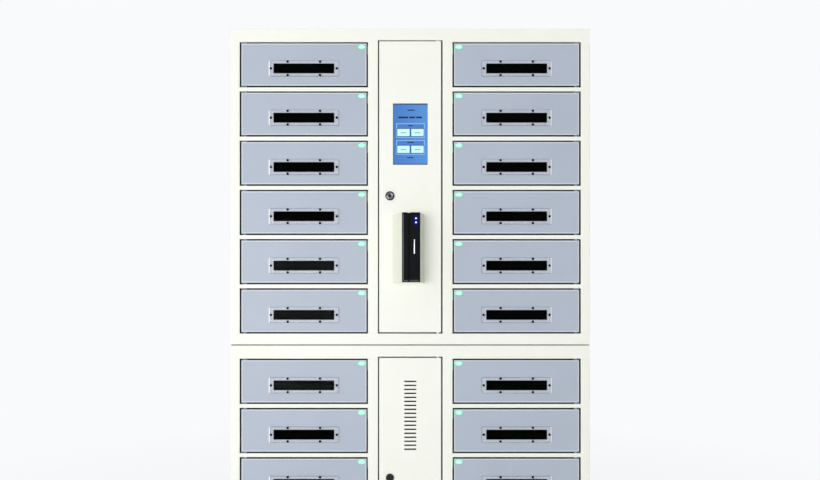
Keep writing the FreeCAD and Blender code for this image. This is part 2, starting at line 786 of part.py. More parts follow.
def vent_door():
    """Lower door with its column of vent slots and the hole for the latch."""
    inside = FRONT + SHEET
    slots = [vent_slot(VENT_DOOR_TOP - VENT_DROP - row * VENT_PITCH) for row in range(VENT_COUNT)]
    latch = cylinder_y(LATCH_SHAFT + 2 * PLUG_CLEARANCE, CAM_LOCK_X, VENT_DOOR_TOP - LATCH_DROP,
                       FRONT, inside)
    return column_door(LOWER, slots + [latch])


def vent_latch():
    """Quarter-turn latch of the vent door: slotted head, shaft and cam."""
    x, z = CAM_LOCK_X, VENT_DOOR_TOP - LATCH_DROP
    seat = FRONT - LATCH_PLAY
    face = seat - LATCH_PROUD
    head = cylinder_y(LATCH_HEAD, x, z, face, seat)
    slot = box(x - LATCH_HEAD / 2, x + LATCH_HEAD / 2, face, face + LATCH_SLOT_DEPTH,
               z - LATCH_SLOT_WIDTH / 2, z + LATCH_SLOT_WIDTH / 2)
    shaft = cylinder_y(LATCH_SHAFT, x, z, seat, CAM_Y)
    return joined(drilled(head, [slot]), shaft, turning_cam(x, z))


def column_box(width, depth, z0, height):
    """Electronics case on the back wall of the column, with a fixing ear at each end."""
    seat = SKIN_BACK
    case = box(-width / 2, width / 2, seat - depth, seat, z0, z0 + height)
    ears = box(-width / 4, width / 4, seat - BOX_EAR_SHEET, seat, z0 - BOX_EAR, z0 + height + BOX_EAR)
    return joined(case, ears)


def control_board():
    """Control electronics in their case."""
    return column_box(BOARD_WIDTH, BOARD_DEPTH, UPPER.floor + BOARD_RISE, BOARD_HEIGHT)


def power_supply():
    """Power supply with cooling grooves across the front of its case."""
    z0 = LOWER.floor + SUPPLY_RISE
    case = column_box(SUPPLY_WIDTH, SUPPLY_DEPTH, z0, SUPPLY_HEIGHT)
    face = SKIN_BACK - SUPPLY_DEPTH
    grooves = [
        box(-SUPPLY_WIDTH / 2, SUPPLY_WIDTH / 2, face, face + FIN_DEPTH,
            z0 + FIN_MARGIN + row * FIN_PITCH, z0 + FIN_MARGIN + row * FIN_PITCH + FIN_GROOVE)
        for row in range(FIN_COUNT)
    ]
    return drilled(case, grooves)


# Nodes

def pair(piece):
    """Right-hand piece and its mirror image."""
    return [piece, mirrored(piece)]


def all_nodes():
    """Solids of every node, by name."""
    nodes = {
        "side_panels": pair(side_panel(UPPER)) + pair(side_panel(LOWER)),
        "top_panels": [top_panel(cabinet) for cabinet in CABINETS],
        "floor_panels": [floor_panel(cabinet) for cabinet in CABINETS],
        "back_panels": [back_panel(UPPER, wall_holes()), back_panel(LOWER, cable_holes())],
        "partitions": pair(partition(UPPER)) + pair(partition(LOWER)),
        "shelves": shelves(),
        "base_plinth": plinth(),
        "bay_locks": in_every_bay(bay_lock),
        "bay_lamps": in_every_bay(bay_lamp),
        "bay_outlets": in_every_bay(bay_outlet),
        "power_supply": [power_supply()],
        "control_board": [control_board()],
        "control_door": [control_door()],
        "touchscreen": [touchscreen()],
        "card_reader_mount": [reader_hood()],
        "card_reader": card_reader(),
        "control_lock_barrel": [lock_barrel()],
        "control_lock_plug": [lock_plug()],
        "vent_door": [vent_door()],
        "vent_latch": [vent_latch()],
    }
    sills = [sill for cabinet in CABINETS for sill in cabinet.sills]
    for number, sill in enumerate(sills, start=1):
        door = bay_door(sill)
        window = bay_window(sill)
        nodes[f"door_right_{number:02d}"] = [door]
        nodes[f"door_left_{number:02d}"] = [mirrored(door)]
        nodes[f"window_right_{number:02d}"] = [window]
        nodes[f"window_left_{number:02d}"] = [mirrored(window)]
    return nodes


def main():
    """Write one file per node."""
    os.makedirs("parts", exist_ok=True)
    for name, solids in all_nodes().items():
        shape = solids[0] if len(solids) == 1 else Part.makeCompound(solids)
        shape.exportStep(os.path.join("parts", name + ".step"))


main()
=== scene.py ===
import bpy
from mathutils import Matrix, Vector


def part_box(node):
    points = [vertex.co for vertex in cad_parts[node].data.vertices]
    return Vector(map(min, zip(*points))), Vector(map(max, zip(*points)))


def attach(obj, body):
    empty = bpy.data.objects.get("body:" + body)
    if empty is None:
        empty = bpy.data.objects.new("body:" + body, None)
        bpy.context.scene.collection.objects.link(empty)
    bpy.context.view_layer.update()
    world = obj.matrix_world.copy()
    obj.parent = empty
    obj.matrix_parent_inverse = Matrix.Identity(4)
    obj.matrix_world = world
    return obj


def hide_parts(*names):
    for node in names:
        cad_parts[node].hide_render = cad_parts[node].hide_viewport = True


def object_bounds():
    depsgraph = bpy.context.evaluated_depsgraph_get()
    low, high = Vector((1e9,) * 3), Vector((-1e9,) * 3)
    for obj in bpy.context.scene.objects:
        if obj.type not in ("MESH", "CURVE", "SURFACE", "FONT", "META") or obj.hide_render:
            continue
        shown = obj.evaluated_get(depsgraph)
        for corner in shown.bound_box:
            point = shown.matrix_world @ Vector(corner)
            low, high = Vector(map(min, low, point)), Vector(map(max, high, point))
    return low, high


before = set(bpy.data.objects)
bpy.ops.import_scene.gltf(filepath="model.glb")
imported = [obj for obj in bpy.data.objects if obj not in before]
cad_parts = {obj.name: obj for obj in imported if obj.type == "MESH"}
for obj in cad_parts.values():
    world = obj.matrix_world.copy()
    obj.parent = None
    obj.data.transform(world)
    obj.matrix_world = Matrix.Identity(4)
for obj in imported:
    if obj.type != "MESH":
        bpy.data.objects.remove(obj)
CAD_BOX = [list(corner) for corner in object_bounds()]

import functools
import logging
import math
from dataclasses import dataclass
from enum import Enum
from typing import Callable, Dict, List, Optional, Sequence, Tuple, Union

import bpy
from mathutils import Matrix, Vector

# Looks of a charging locker: paint, clear windows, lamps, screen and small fittings on the
# solids of the frame. Metres, +Z up, the doors face -Y.

Colour = Tuple[float, float, float]
Place = Tuple[float, float, float]
Piece = bpy.types.Object
log = logging.getLogger("locker")

MM = 0.001
BAY_COUNT = 10
FACING = 0.9
DOOR_HALF_WIDTH = 157.5 * MM
GAP_SHADE_FRONT = -224 * MM
CABINET_SPLIT = 607 * MM
LOWER_SILL = 90 * MM
UPPER_SILL = 637 * MM


def tone(red: float, green: float, blue: float) -> Colour:
    """Linear colour of a display colour.

    Args:
        red, green, blue: the display colour, each from 0 to 255.

    Returns:
        The same colour as the shaders take it.
    """
    def linear(value: float) -> float:
        """Linear share of one display channel."""
        share = value / 255.0
        return share / 12.92 if share <= 0.04045 else ((share + 0.055) / 1.055) ** 2.4

    return linear(red), linear(green), linear(blue)


class Side(Enum):
    """Side of the control column that a bay is on."""

    LEFT = -1
    RIGHT = 1

    @property
    def word(self) -> str:
        """Word for the side in a piece's name."""
        return self.name.lower()


def maths(operation: str, turned: bool = False) -> Callable[..., "Wire"]:
    """Make an operator that adds a Math node.

    Args:
        operation: the node's operation.
        turned: whether the wire is the value on the right.

    Returns:
        The operator's method.
    """
    def method(wire: "Wire", other: "Value" = 0.0) -> "Wire":
        """Add the node on a wire and another value."""
        pair = (other, wire) if turned else (wire, other)
        return wire.nodes.add("ShaderNodeMath", {"operation": operation}, dict(enumerate(pair)))

    return method


class Wire:
    """Output of a node that takes part in arithmetic."""

    __add__, __radd__ = maths("ADD"), maths("ADD", True)
    __sub__, __rsub__ = maths("SUBTRACT"), maths("SUBTRACT", True)
    __mul__, __rmul__ = maths("MULTIPLY"), maths("MULTIPLY", True)
    __truediv__, __mod__ = maths("DIVIDE"), maths("MODULO")
    __gt__, __lt__ = maths("GREATER_THAN"), maths("LESS_THAN")
    __abs__ = maths("ABSOLUTE")
    least = maths("MINIMUM")

    def __init__(self, nodes: "Nodes", socket: bpy.types.NodeSocket) -> None:
        """Hold a socket and the nodes that it belongs to."""
        self.nodes = nodes
        self.socket = socket

    def clamped(self) -> "Wire":
        """The value held between 0 and 1."""
        return self.nodes.add("ShaderNodeClamp", {}, {"Value": self})


Value = Union[float, Sequence[float], Wire]
Socket = Union[int, str]
Owner = Union[bpy.types.Material, bpy.types.World]


class Nodes:
    """Nodes of one material or of the surroundings, added by type."""

    def __init__(self, owner: Owner) -> None:
        """Start with no nodes."""
        self.owner = owner
        owner.use_nodes = True
        self.tree = owner.node_tree
        self.tree.nodes.clear()

    @classmethod
    def named(cls, name: str) -> "Nodes":
        """Nodes of a new material."""
        return cls(bpy.data.materials.new(name))

    def add(self, kind: str, settings: Dict[str, object], inputs: Dict[Socket, Value],
            output: Socket = 0) -> Wire:
        """Add a node.

        Args:
            kind: the node's type.
            settings: its own settings, set before its sockets.
            inputs: a value or a wire for each socket by name or number.
            output: which output to return.

        Returns:
            The chosen output as a wire.
        """
        node = self.tree.nodes.new(kind)
        for key, value in settings.items():
            setattr(node, key, value)
        for key, value in inputs.items():
            socket = node.inputs[key]
            if isinstance(value, Wire):
                self.tree.links.new(value.socket, socket)
            elif isinstance(value, (int, float)):
                socket.default_value = value
            else:
                tail = (1.0,) if len(value) < len(socket.default_value) else ()
                socket.default_value = tuple(value) + tail
        return Wire(self, node.outputs[output])

    def place(self) -> Wire:
        """Position on the piece in the shared frame."""
        return self.add("ShaderNodeTexCoord", {}, {}, "Object")

    def axes(self, place: Wire) -> Tuple[Wire, Wire, Wire]:
        """X, Y and Z of a position."""
        split = self.add("ShaderNodeSeparateXYZ", {}, {0: place})
        outputs = split.socket.node.outputs
        return Wire(self, outputs[0]), Wire(self, outputs[1]), Wire(self, outputs[2])

    def noise(self, place: Value, size: float, detail: float = 2.0) -> Wire:
        """Noise from 0 to 1 with grains of about a given size in metres."""
        inputs = {"Vector": place, "Scale": 1.0 / size, "Detail": detail}
        return self.add("ShaderNodeTexNoise", {}, inputs)

    def between(self, share: Value, first: Value, second: Value) -> Wire:
        """Colour that goes from the first to the second with the share."""
        settings = {"data_type": "RGBA", "clamp_factor": True}
        return self.add("ShaderNodeMix", settings, {0: share, 6: first, 7: second}, 2)

    def bump(self, height: Wire, distance: float, strength: float) -> Wire:
        """Normal of a surface with a fine relief."""
        inputs = {"Height": height, "Distance": distance, "Strength": strength}
        return self.add("ShaderNodeBump", {}, inputs)

    def surface(self, inputs: Dict[Socket, Value]) -> Wire:
        """Principled shader with the given sockets."""
        return self.add("ShaderNodeBsdfPrincipled", {}, inputs)

    def finish(self, shader: Wire, output: str = "ShaderNodeOutputMaterial") -> Owner:
        """Send a shader to an output node and return what owns the nodes."""
        node = self.tree.nodes.new(output)
        self.tree.links.new(shader.socket, node.inputs["Surface"])
        return self.owner


@dataclass(frozen=True)
class DoorRimHighlightAndShade:
    """Folded rims of the bay doors, with a painted highlight inside a painted shade line at the
    outer edge.
    """

    painted_highlight: Colour
    shade: Colour
    middle_x: float = 266.5 * MM
    half_width: float = DOOR_HALF_WIDTH
    half_height: float = 53.75 * MM
    gap: float = 3 * MM
    pitch: float = 123.5 * MM
    lower_sill: float = LOWER_SILL
    upper_sill: float = UPPER_SILL
    split: float = CABINET_SPLIT
    face_y: float = GAP_SHADE_FRONT
    line: float = 1.5 * MM
    crest: float = 2.3 * MM
    reach: float = 1.6 * MM

    def over(self, nodes: Nodes, place: Wire, paint: Wire) -> Wire:
        """Paint with the rims' painted highlight and painted shade on it.

        Args:
            nodes: the paint's nodes.
            place: position on the door.
            paint: colour of the paint.

        Returns:
            The colour with the painted highlight line and the painted shade line.
        """
        x, y, z = nodes.axes(place)
        sill = self.lower_sill + (z > self.split) * (self.upper_sill - self.lower_sill)
        rise = (z - sill) % self.pitch - (self.gap + self.half_height)
        side = self.half_width - abs(abs(x) - self.middle_x)
        inside = side.least(self.half_height - abs(rise))
        face = y < self.face_y
        # pale is a painted highlight where the rounded fold would catch the light; dark is painted
        # shade at the rim's outer edge.
        pale = (1.0 - abs(inside - self.crest) / self.reach).clamped() * face
        dark = (1.0 - inside / self.line).clamped() * face
        return nodes.between(dark, nodes.between(pale, paint, self.painted_highlight), self.shade)


@dataclass(frozen=True)
class PowderCoat:
    """Baked powder paint with a fine orange-peel skin."""

    name: str
    colour: Colour
    thin: Colour
    roughness: float = 0.42
    grain: float = 1.6 * MM
    rims: Optional[DoorRimHighlightAndShade] = None
    cloud: float = 140 * MM
    peel_depth: float = 0.25 * MM

    def make(self) -> bpy.types.Material:
        """Material of the paint, with a painted highlight and a painted shade line along any door
        rim.
        """
        nodes = Nodes.named(self.name)
        place = nodes.place()
        peel = nodes.noise(place, self.grain)
        cloud = nodes.noise(place, self.cloud, 3.0)
        share = ((cloud - 0.42) * 2.4 + (peel - 0.5) * 0.35).clamped()
        rough = self.roughness + (cloud - 0.5) * 0.14 + (peel - 0.5) * 0.1
        paint = nodes.between(share, self.colour, self.thin)
        if self.rims:
            paint = self.rims.over(nodes, place, paint)
        return nodes.finish(nodes.surface({
            "Base Color": paint,
            "Roughness": rough,
            "Specular IOR Level": 0.28,
            "Normal": nodes.bump(peel, self.peel_depth, 0.16),
        }))


@dataclass(frozen=True)
class Moulding:
    """Moulded plastic with a spark-etched grain."""

    name: str
    colour: Colour
    roughness: float = 0.45
    grain: float = 0.7 * MM
    depth: float = 0.1 * MM
    shine: float = 0.5
    glow: Tuple[Place, ...] = ()
    glow_colour: Colour = (0.0, 0.0, 0.0)
    glow_reach: float = 6 * MM
    smear: float = 35 * MM

    def make(self) -> bpy.types.Material:
        """Material of the plastic, lit round any small lamp that is set into it."""
        nodes = Nodes.named(self.name)
        place = nodes.place()
        grain = nodes.noise(place, self.grain, 3.0)
        smear = nodes.noise(place, self.smear)
        pale = tuple(min(1.0, c * 1.25 + 0.004) for c in self.colour)
        share = ((smear - 0.45) * 1.6 + (grain - 0.5) * 0.6).clamped()
        inputs = {
            "Base Color": nodes.between(share, self.colour, pale),
            "Roughness": self.roughness + (smear - 0.5) * 0.2,
            "Specular IOR Level": self.shine,
            "Normal": nodes.bump(grain, self.depth, 0.3),
        }
        if self.glow:
            spill = self.spill(nodes, place)
            inputs["Emission Color"] = nodes.between(spill, (0, 0, 0), self.glow_colour)
            inputs["Emission Strength"] = 1.0
        return nodes.finish(nodes.surface(inputs))

    def spill(self, nodes: Nodes, place: Wire) -> Wire:
        """Share of a small lamp's light that the plastic shows round it."""
        x, _, z = nodes.axes(place)
        total: Optional[Wire] = None
        for lamp in self.glow:
            across = (x - lamp[0]) / self.glow_reach
            along = (z - lamp[2]) / self.glow_reach
            near = (1.0 - across * across - along * along).clamped()
            total = near * near if total is None else total + near * near
        return total.clamped()


@dataclass(frozen=True)
class Plating:
    """Plated or cast metal with fine scuffs."""

    name: str
    colour: Colour
    roughness: float = 0.28
    scuff: float = 0.12
    grain: float = 1.2 * MM
    patch: float = 14 * MM
    relief: float = 0.06 * MM

    def make(self) -> bpy.types.Material:
        """Material of the metal."""
        nodes = Nodes.named(self.name)
        place = nodes.place()
        fine = nodes.noise(place, self.grain, 4.0)
        broad = nodes.noise(place, self.patch)
        dull = tuple(c * 0.72 for c in self.colour)
        return nodes.finish(nodes.surface({
            "Base Color": nodes.between((broad - 0.4).clamped() * 2.0, self.colour, dull),
            "Metallic": 1.0,
            "Roughness": self.roughness + (fine - 0.5) * self.scuff + (broad - 0.5) * self.scuff,
            "Normal": nodes.bump(fine, self.relief, 0.2),
        }))


@dataclass(frozen=True)
class Acrylic:
    """Polished acrylic sheet that lets light reach what is behind it."""

    name: str
    tint: Colour
    ior: float
    rub: float = 6 * MM

    def make(self) -> bpy.types.Material:
        """Material of the sheet, with faint rub marks in its gloss."""
        nodes = Nodes.named(self.name)
        rub = nodes.noise(nodes.place(), self.rub, 4.0)
        clear = nodes.add("ShaderNodeBsdfTransparent", {}, {"Color": self.tint})
        rough = 0.03 + (rub - 0.55).clamped() * 0.3
        gloss = {"Color": (1.0, 1.0, 1.0), "Roughness": rough}
        shine = nodes.add("ShaderNodeBsdfGlossy", {}, gloss)
        share = nodes.add("ShaderNodeFresnel", {}, {"IOR": self.ior})
        return nodes.finish(nodes.add("ShaderNodeMixShader", {}, {0: share, 1: clear, 2: shine}))


@dataclass(frozen=True)
class HazyAcrylic:
    """Acrylic over a bonded film, which pales what is behind it."""

    name: str
    colour: Colour
    haze: float
    film: float = 9 * MM
    rub: float = 3 * MM

    def make(self) -> bpy.types.Material:
        """Material of the bonded margin."""
        nodes = Nodes.named(self.name)
        place = nodes.place()
        film = nodes.noise(place, self.film, 3.0)
        rub = nodes.noise(place, self.rub, 4.0)
        dull = tuple(c * 0.9 for c in self.colour)
        return nodes.finish(nodes.surface({
            "Base Color": nodes.between(((film - 0.4) * 2.0).clamped(), self.colour, dull),
            "Roughness": 0.12 + (rub - 0.5).clamped() * 0.4,
            "Specular IOR Level": 0.3,
            "Alpha": self.haze,
        }))


@dataclass(frozen=True)
class LitLens:
    """Translucent lens over a small lamp."""

    name: str
    core: Colour
    rim: Colour
    unlit: Colour
    strength: float = 1.0
    grain: float = 2.2 * MM

    def make(self) -> bpy.types.Material:
        """Material of the lens, uneven as a light guide is."""
        nodes = Nodes.named(self.name)
        mottle = nodes.noise(nodes.place(), self.grain)
        share = ((mottle - 0.35) * 2.2).clamped()
        return nodes.finish(nodes.surface({
            "Base Color": nodes.between(share, self.unlit, tuple(c * 0.6 for c in self.unlit)),
            "Roughness": 0.25 + mottle * 0.12,
            "Emission Color": nodes.between(share, self.core, self.rim),
            "Emission Strength": self.strength,
        }))


@dataclass(frozen=True)
class Bar:
    """Plain rectangle shown on the screen, in millimetres from its middle."""

    x: float
    z: float
    width: float
    height: float
    colour: Colour


@dataclass(frozen=True)
class ScreenFace:
    """Lit display with plain panels and bars, and a dark case round it."""

    name: str
    middle: Place
    face_y: float
    left: Colour
    right: Colour
    dark: Colour
    bars: Tuple[Bar, ...]
    half_width: float = 42.6
    half_height: float = 76.2
    skin: float = 0.3 * MM
    grime: float = 20 * MM

    def make(self) -> bpy.types.Material:
        """Material of the display module."""
        nodes = Nodes.named(self.name)
        x, y, z = nodes.axes(nodes.place())
        across = (x - self.middle[0]) / MM
        up = (z - self.middle[2]) / MM
        slope = (0.5 + across / (2 * self.half_width)).clamped()
        picture = nodes.between(slope, self.left, self.right)
        for bar in self.bars:
            inside = (abs(across - bar.x) < bar.width / 2) * (abs(up - bar.z) < bar.height / 2)
            picture = nodes.between(inside, picture, bar.colour)
        lit = (abs(across) < self.half_width) * (abs(up) < self.half_height)
        shown = lit * (y < self.face_y + self.skin)
        grime = nodes.noise(nodes.place(), self.grime, 3.0)
        return nodes.finish(nodes.surface({
            "Base Color": self.dark,
            "Roughness": 0.12 + (grime - 0.45).clamped() * 0.25,
            "Specular IOR Level": 0.3,
            "Emission Color": nodes.between(shown, (0.0, 0.0, 0.0), picture),
            "Emission Strength": 1.0,
        }))


Finish = Union[PowderCoat, Moulding, Plating, Acrylic, HazyAcrylic, LitLens, ScreenFace]

CREAM = PowderCoat("cream_paint", tone(251, 252, 243), tone(249, 250, 239))
# A darker copy of the cream for the reader's hood, which paints the shade of its sloping flanks.
HOOD_SHADED_CREAM = PowderCoat("hood_shaded_paint", tone(234, 236, 220), tone(229, 231, 213))
# The door paint's rims carry a painted highlight and a painted shade line.
DOOR_GREY = PowderCoat("door_paint", tone(182, 191, 205), tone(178, 187, 201),
                       rims=DoorRimHighlightAndShade(tone(228, 232, 239), tone(26, 29, 34)))
PLINTH_CREAM = PowderCoat("plinth_paint", tone(240, 240, 230), tone(226, 225, 212), 0.5)
CLEAR = HazyAcrylic("window_margin", tone(244, 245, 253), 0.22)
RIM = Acrylic("window_rim", (0.72, 0.73, 0.76), 1.14)
# The dark tint over the window's slot paints the shade of the bay's inside.
SLOT_SHADE_TINT = Acrylic("window_slot_shade", (0.3, 0.34, 0.33), 1.07)
FROSTED = Moulding("window_sawn_edge", tone(240, 244, 248), 0.35, 1.0 * MM, 0.08 * MM)
LAMP_GREEN = LitLens("lamp_green", tone(206, 250, 237), tone(158, 241, 212), tone(50, 140, 105))
GUIDE_GREEN = LitLens("light_guide", tone(60, 235, 150), tone(30, 190, 110), tone(40, 120, 80), 1.1)
RIVET_BLACK = Moulding("rivet_black", tone(4, 4, 5), 0.6, 0.7 * MM, 0.1 * MM, 0.06)
READER_BLUE = LitLens("reader_lamp", tone(225, 235, 255), tone(190, 208, 255), tone(60, 80, 160),
                      1.6, 0.8 * MM)
NICKEL = Plating("lock_nickel", tone(52, 53, 55), 0.24)
BEZEL_NICKEL = Plating("lock_bezel_nickel", tone(24, 25, 27), 0.2)
RING_NICKEL = Plating("lock_ring_nickel", tone(120, 122, 124), 0.2)
DARK_NICKEL = Plating("lock_dark_nickel", tone(48, 50, 52), 0.26)
BRIGHT_NICKEL = Plating("fixing_nickel", tone(205, 205, 202), 0.28)
CASE_ZINC = Plating("lock_case_zinc", tone(172, 174, 176), 0.42, 0.16)
CASE_ALUMINIUM = Plating("electronics_case", tone(150, 153, 158), 0.45, 0.14)
OUTLET_WHITE = Moulding("outlet_plastic", tone(226, 226, 222), 0.4)
PORT_BLACK = Moulding("port_black", tone(20, 20, 22), 0.5)
# Black insert in the keyway, painted shade of the keyhole's inside.
KEYHOLE_SHADE = Moulding("keyhole_shade", tone(8, 8, 8), 0.8, 0.7 * MM, 0.05 * MM, 0.1)
TERMINAL_GREEN = Moulding("terminal_plastic", tone(44, 112, 74), 0.45)
# Pale grey of the reader's bead, a painted highlight along the face's lit edges.
BEAD_HIGHLIGHT_GREY = Moulding("reader_bead", tone(128, 124, 138), 0.35)
STRIPE_SILVER = Plating("stripe_silver", tone(236, 238, 240), 0.35)
# Black rubber of the strips in the door gaps, which paints the gaps' shade.
GAP_SHADE_RUBBER = Moulding("seal_rubber", tone(16, 16, 17), 0.8, 1.1 * MM, 0.1 * MM, 0.1)
GROMMET_RUBBER = Moulding("grommet_rubber", tone(28, 28, 28), 0.7, 1.1 * MM)


@functools.lru_cache(maxsize=None)
def material_of(finish: Finish) -> bpy.types.Material:
    """Material of a finish, made once."""
    return finish.make()


class Bench:
    """Modelling steps, each done with an operator."""

    @staticmethod
    def clear() -> None:
        """Leave edit mode with nothing selected."""
        if bpy.context.mode != "OBJECT":
            bpy.ops.object.mode_set(mode="OBJECT")
        bpy.ops.object.select_all(action="DESELECT")

    @classmethod
    def only(cls, piece: Piece) -> None:
        """Select one piece and make it active."""
        cls.clear()
        piece.select_set(True)
        bpy.context.view_layer.objects.active = piece

    @staticmethod
    def settle(name: str, scale: Place = (1.0, 1.0, 1.0)) -> Piece:
        """Name the new primitive and put its place, turn and size into its mesh."""
        piece = bpy.context.object
        piece.name = name
        piece.data.name = name
        piece.scale = scale
        bpy.ops.object.transform_apply(location=True, rotation=True, scale=True)
        return piece

    @classmethod
    def block(cls, name: str, centre: Place, size: Place) -> Piece:
        """Rectangular block to start from."""
        cls.clear()
        bpy.ops.mesh.primitive_cube_add(size=1.0, location=centre)
        return cls.settle(name, size)

    @classmethod
    def disc(cls, name: str, centre: Place, radius: float, depth: float, sides: int) -> Piece:
        """Short cylinder along Y to start from."""
        cls.clear()
        bpy.ops.mesh.primitive_cylinder_add(vertices=sides, radius=radius, depth=depth,
                                            location=centre, rotation=(math.pi / 2, 0.0, 0.0))
        return cls.settle(name)

    @classmethod
    def plate(cls, name: str, size: Place, corner: float, rim: float) -> Piece:
        """Plate that looks along -Y with its back at the origin.

        Args:
            name: the piece's name.
            size: width, thickness and height.
            corner: how far its four corners are cut off.
            rim: how far its front edges slope.

        Returns:
            The new piece.
        """
        width, depth, height = size
        slab = depth - rim
        piece = cls.block(name, (0.0, -slab / 2, 0.0), (width, slab, height))
        cls.pick_edges(piece, lambda a, b: abs(a.y - b.y) > 0.5 * slab)
        bpy.ops.mesh.bevel(offset=corner, segments=3, affect="EDGES")
        return cls.raised(piece, (rim, rim))

    @classmethod
    def raised(cls, piece: Piece, *steps: Tuple[float, float]) -> Piece:
        """Inset the front of a piece step by step.

        Args:
            piece: the piece.
            steps: how far in and how far out each step goes.

        Returns:
            The same piece.
        """
        cls.pick(piece, lambda centre, normal: normal.y < -FACING)
        for inwards, outwards in steps:
            bpy.ops.mesh.inset(thickness=inwards, depth=outwards)
        cls.clear()
        return piece

    @classmethod
    def ring(cls, name: str, centre: Place, size: Place, sides: int) -> Piece:
        """Flat ring about Y.

        Args:
            name: the piece's name.
            centre: its middle.
            size: outer radius, depth and width of its band.
            sides: number of segments round it.

        Returns:
            The new piece.
        """
        radius, depth, band = size
        piece = cls.disc(name, centre, radius, depth, sides)
        cls.pick(piece, lambda centre, normal: abs(normal.y) > FACING)
        bpy.ops.mesh.inset(thickness=band)
        bpy.ops.mesh.bridge_edge_loops()
        cls.clear()
        return piece

    @classmethod
    def dome(cls, name: str, centre: Place, half: Place, sides: int) -> Piece:
        """Front half of an ellipsoid, closed behind.

        Args:
            name: the piece's name.
            centre: middle of the flat back.
            half: half width, bulge and half height.
            sides: number of segments round it.

        Returns:
            The new piece.
        """
        cls.clear()
        bpy.ops.mesh.primitive_uv_sphere_add(segments=sides, ring_count=sides // 2, radius=1.0,
                                             location=centre, rotation=(math.pi / 2, 0.0, 0.0))
        piece = cls.settle(name)
        cls.only(piece)
        bpy.ops.object.mode_set(mode="EDIT")
        bpy.ops.mesh.select_all(action="SELECT")
        bpy.ops.transform.resize(value=half, center_override=centre)
        bpy.ops.mesh.select_all(action="SELECT")
        bpy.ops.mesh.bisect(plane_co=centre, plane_no=(0.0, -1.0, 0.0), use_fill=True,
                            clear_inner=True)
        bpy.ops.object.mode_set(mode="OBJECT")
        return piece

    @classmethod
    def deselect(cls, piece: Piece, mode: Tuple[bool, bool, bool]) -> bpy.types.Mesh:
        """Make a piece active with none of its mesh selected, in a selection mode."""
        cls.only(piece)
        bpy.context.tool_settings.mesh_select_mode = mode
        mesh = piece.data
        for group in (mesh.vertices, mesh.edges, mesh.polygons):
            group.foreach_set("select", [False] * len(group))
        return mesh

    @classmethod
    def pick(cls, piece: Piece, test: Callable[[Vector, Vector], bool]) -> None:
        """Enter edit mode with the faces selected whose centre and normal pass a test."""
        for face in cls.deselect(piece, (False, False, True)).polygons:
            face.select = test(face.center, face.normal)
        bpy.ops.object.mode_set(mode="EDIT")

    @classmethod
    def pick_edges(cls, piece: Piece, test: Callable[[Vector, Vector], bool]) -> None:
        """Enter edit mode with the edges selected whose two ends pass a test."""
        mesh = cls.deselect(piece, (False, True, False))
        for edge in mesh.edges:
            edge.select = test(*(mesh.vertices[index].co for index in edge.vertices))
        bpy.ops.object.mode_set(mode="EDIT")

    @classmethod
    def sliced(cls, piece: Piece, point: Place, normal: Place) -> Piece:
        """Add a line of edges where a plane crosses a piece."""
        cls.only(piece)
        bpy.ops.object.mode_set(mode="EDIT")
        bpy.ops.mesh.select_all(action="SELECT")
        bpy.ops.mesh.bisect(plane_co=point, plane_no=normal)
        bpy.ops.object.mode_set(mode="OBJECT")
        return piece

    @classmethod
    def rounded(cls, piece: Piece, width: float, segments: int = 2, angle: float = 40.0) -> Piece:
        """Round a piece's sharp edges."""
        cls.only(piece)
        bpy.ops.object.modifier_add(type="BEVEL")
        bevel = piece.modifiers[-1]
        bevel.width = width
        bevel.segments = segments
        bevel.limit_method = "ANGLE"
        bevel.angle_limit = math.radians(angle)
        bpy.ops.object.modifier_apply(modifier=bevel.name)
        return piece

    @classmethod
    def cut(cls, piece: Piece, cutter: Piece) -> Piece:
        """Cut one piece by another, which goes."""
        cls.only(piece)
        bpy.ops.object.modifier_add(type="BOOLEAN")
        boolean = piece.modifiers[-1]
        boolean.operation = "DIFFERENCE"
        boolean.object = cutter
        bpy.ops.object.modifier_apply(modifier=boolean.name)
        bpy.data.objects.remove(cutter)
        return piece

    @classmethod
    def join(cls, name: str, pieces: Sequence[Piece]) -> Piece:
        """Join pieces into the first and name it."""
        cls.clear()
        for piece in pieces:
            piece.select_set(True)
        bpy.context.view_layer.objects.active = pieces[0]
        bpy.ops.object.join()
        pieces[0].name = name
        pieces[0].data.name = name
        return pieces[0]

    @classmethod
    def smooth(cls, piece: Piece, angle: float = 35.0) -> Piece:
        """Shade a piece smooth except at its sharp edges."""
        cls.only(piece)
        bpy.ops.object.shade_smooth_by_angle(angle=math.radians(angle))
        return piece

    @staticmethod
    def copy(master: Piece, name: str, shift: Matrix) -> Piece:
        """Copy of a piece with its own mesh, moved in the mesh."""
        piece = master.copy()
        piece.data = master.data.copy()
        piece.name = name
        piece.data.name = name
        piece.data.transform(shift)
        bpy.context.scene.collection.objects.link(piece)
        return piece


def coat(piece: Piece, finish: Finish) -> Piece:
    """Give a new piece one finish all over."""
    piece.data.materials.clear()
    piece.data.materials.append(material_of(finish))
    return piece


def dress_node(name: str, finish: Finish) -> None:
    """Give a solid of the frame its finish."""
    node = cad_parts[name]
    material = material_of(finish)
    if not node.material_slots:
        node.data.materials.append(material)
    for slot in node.material_slots:
        slot.material = material
    log.info("dressed %s with %s", name, finish.name)


def place_piece(piece: Piece, body: str) -> Piece:
    """Let a piece ride on its body and report it.

    Args:
        piece: the finished piece.
        body: the body that carries it.

    Returns:
        The same piece.
    """
    Bench.clear()
    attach(piece, body)
    log.info("placed %s on %s", piece.name, body)
    return piece


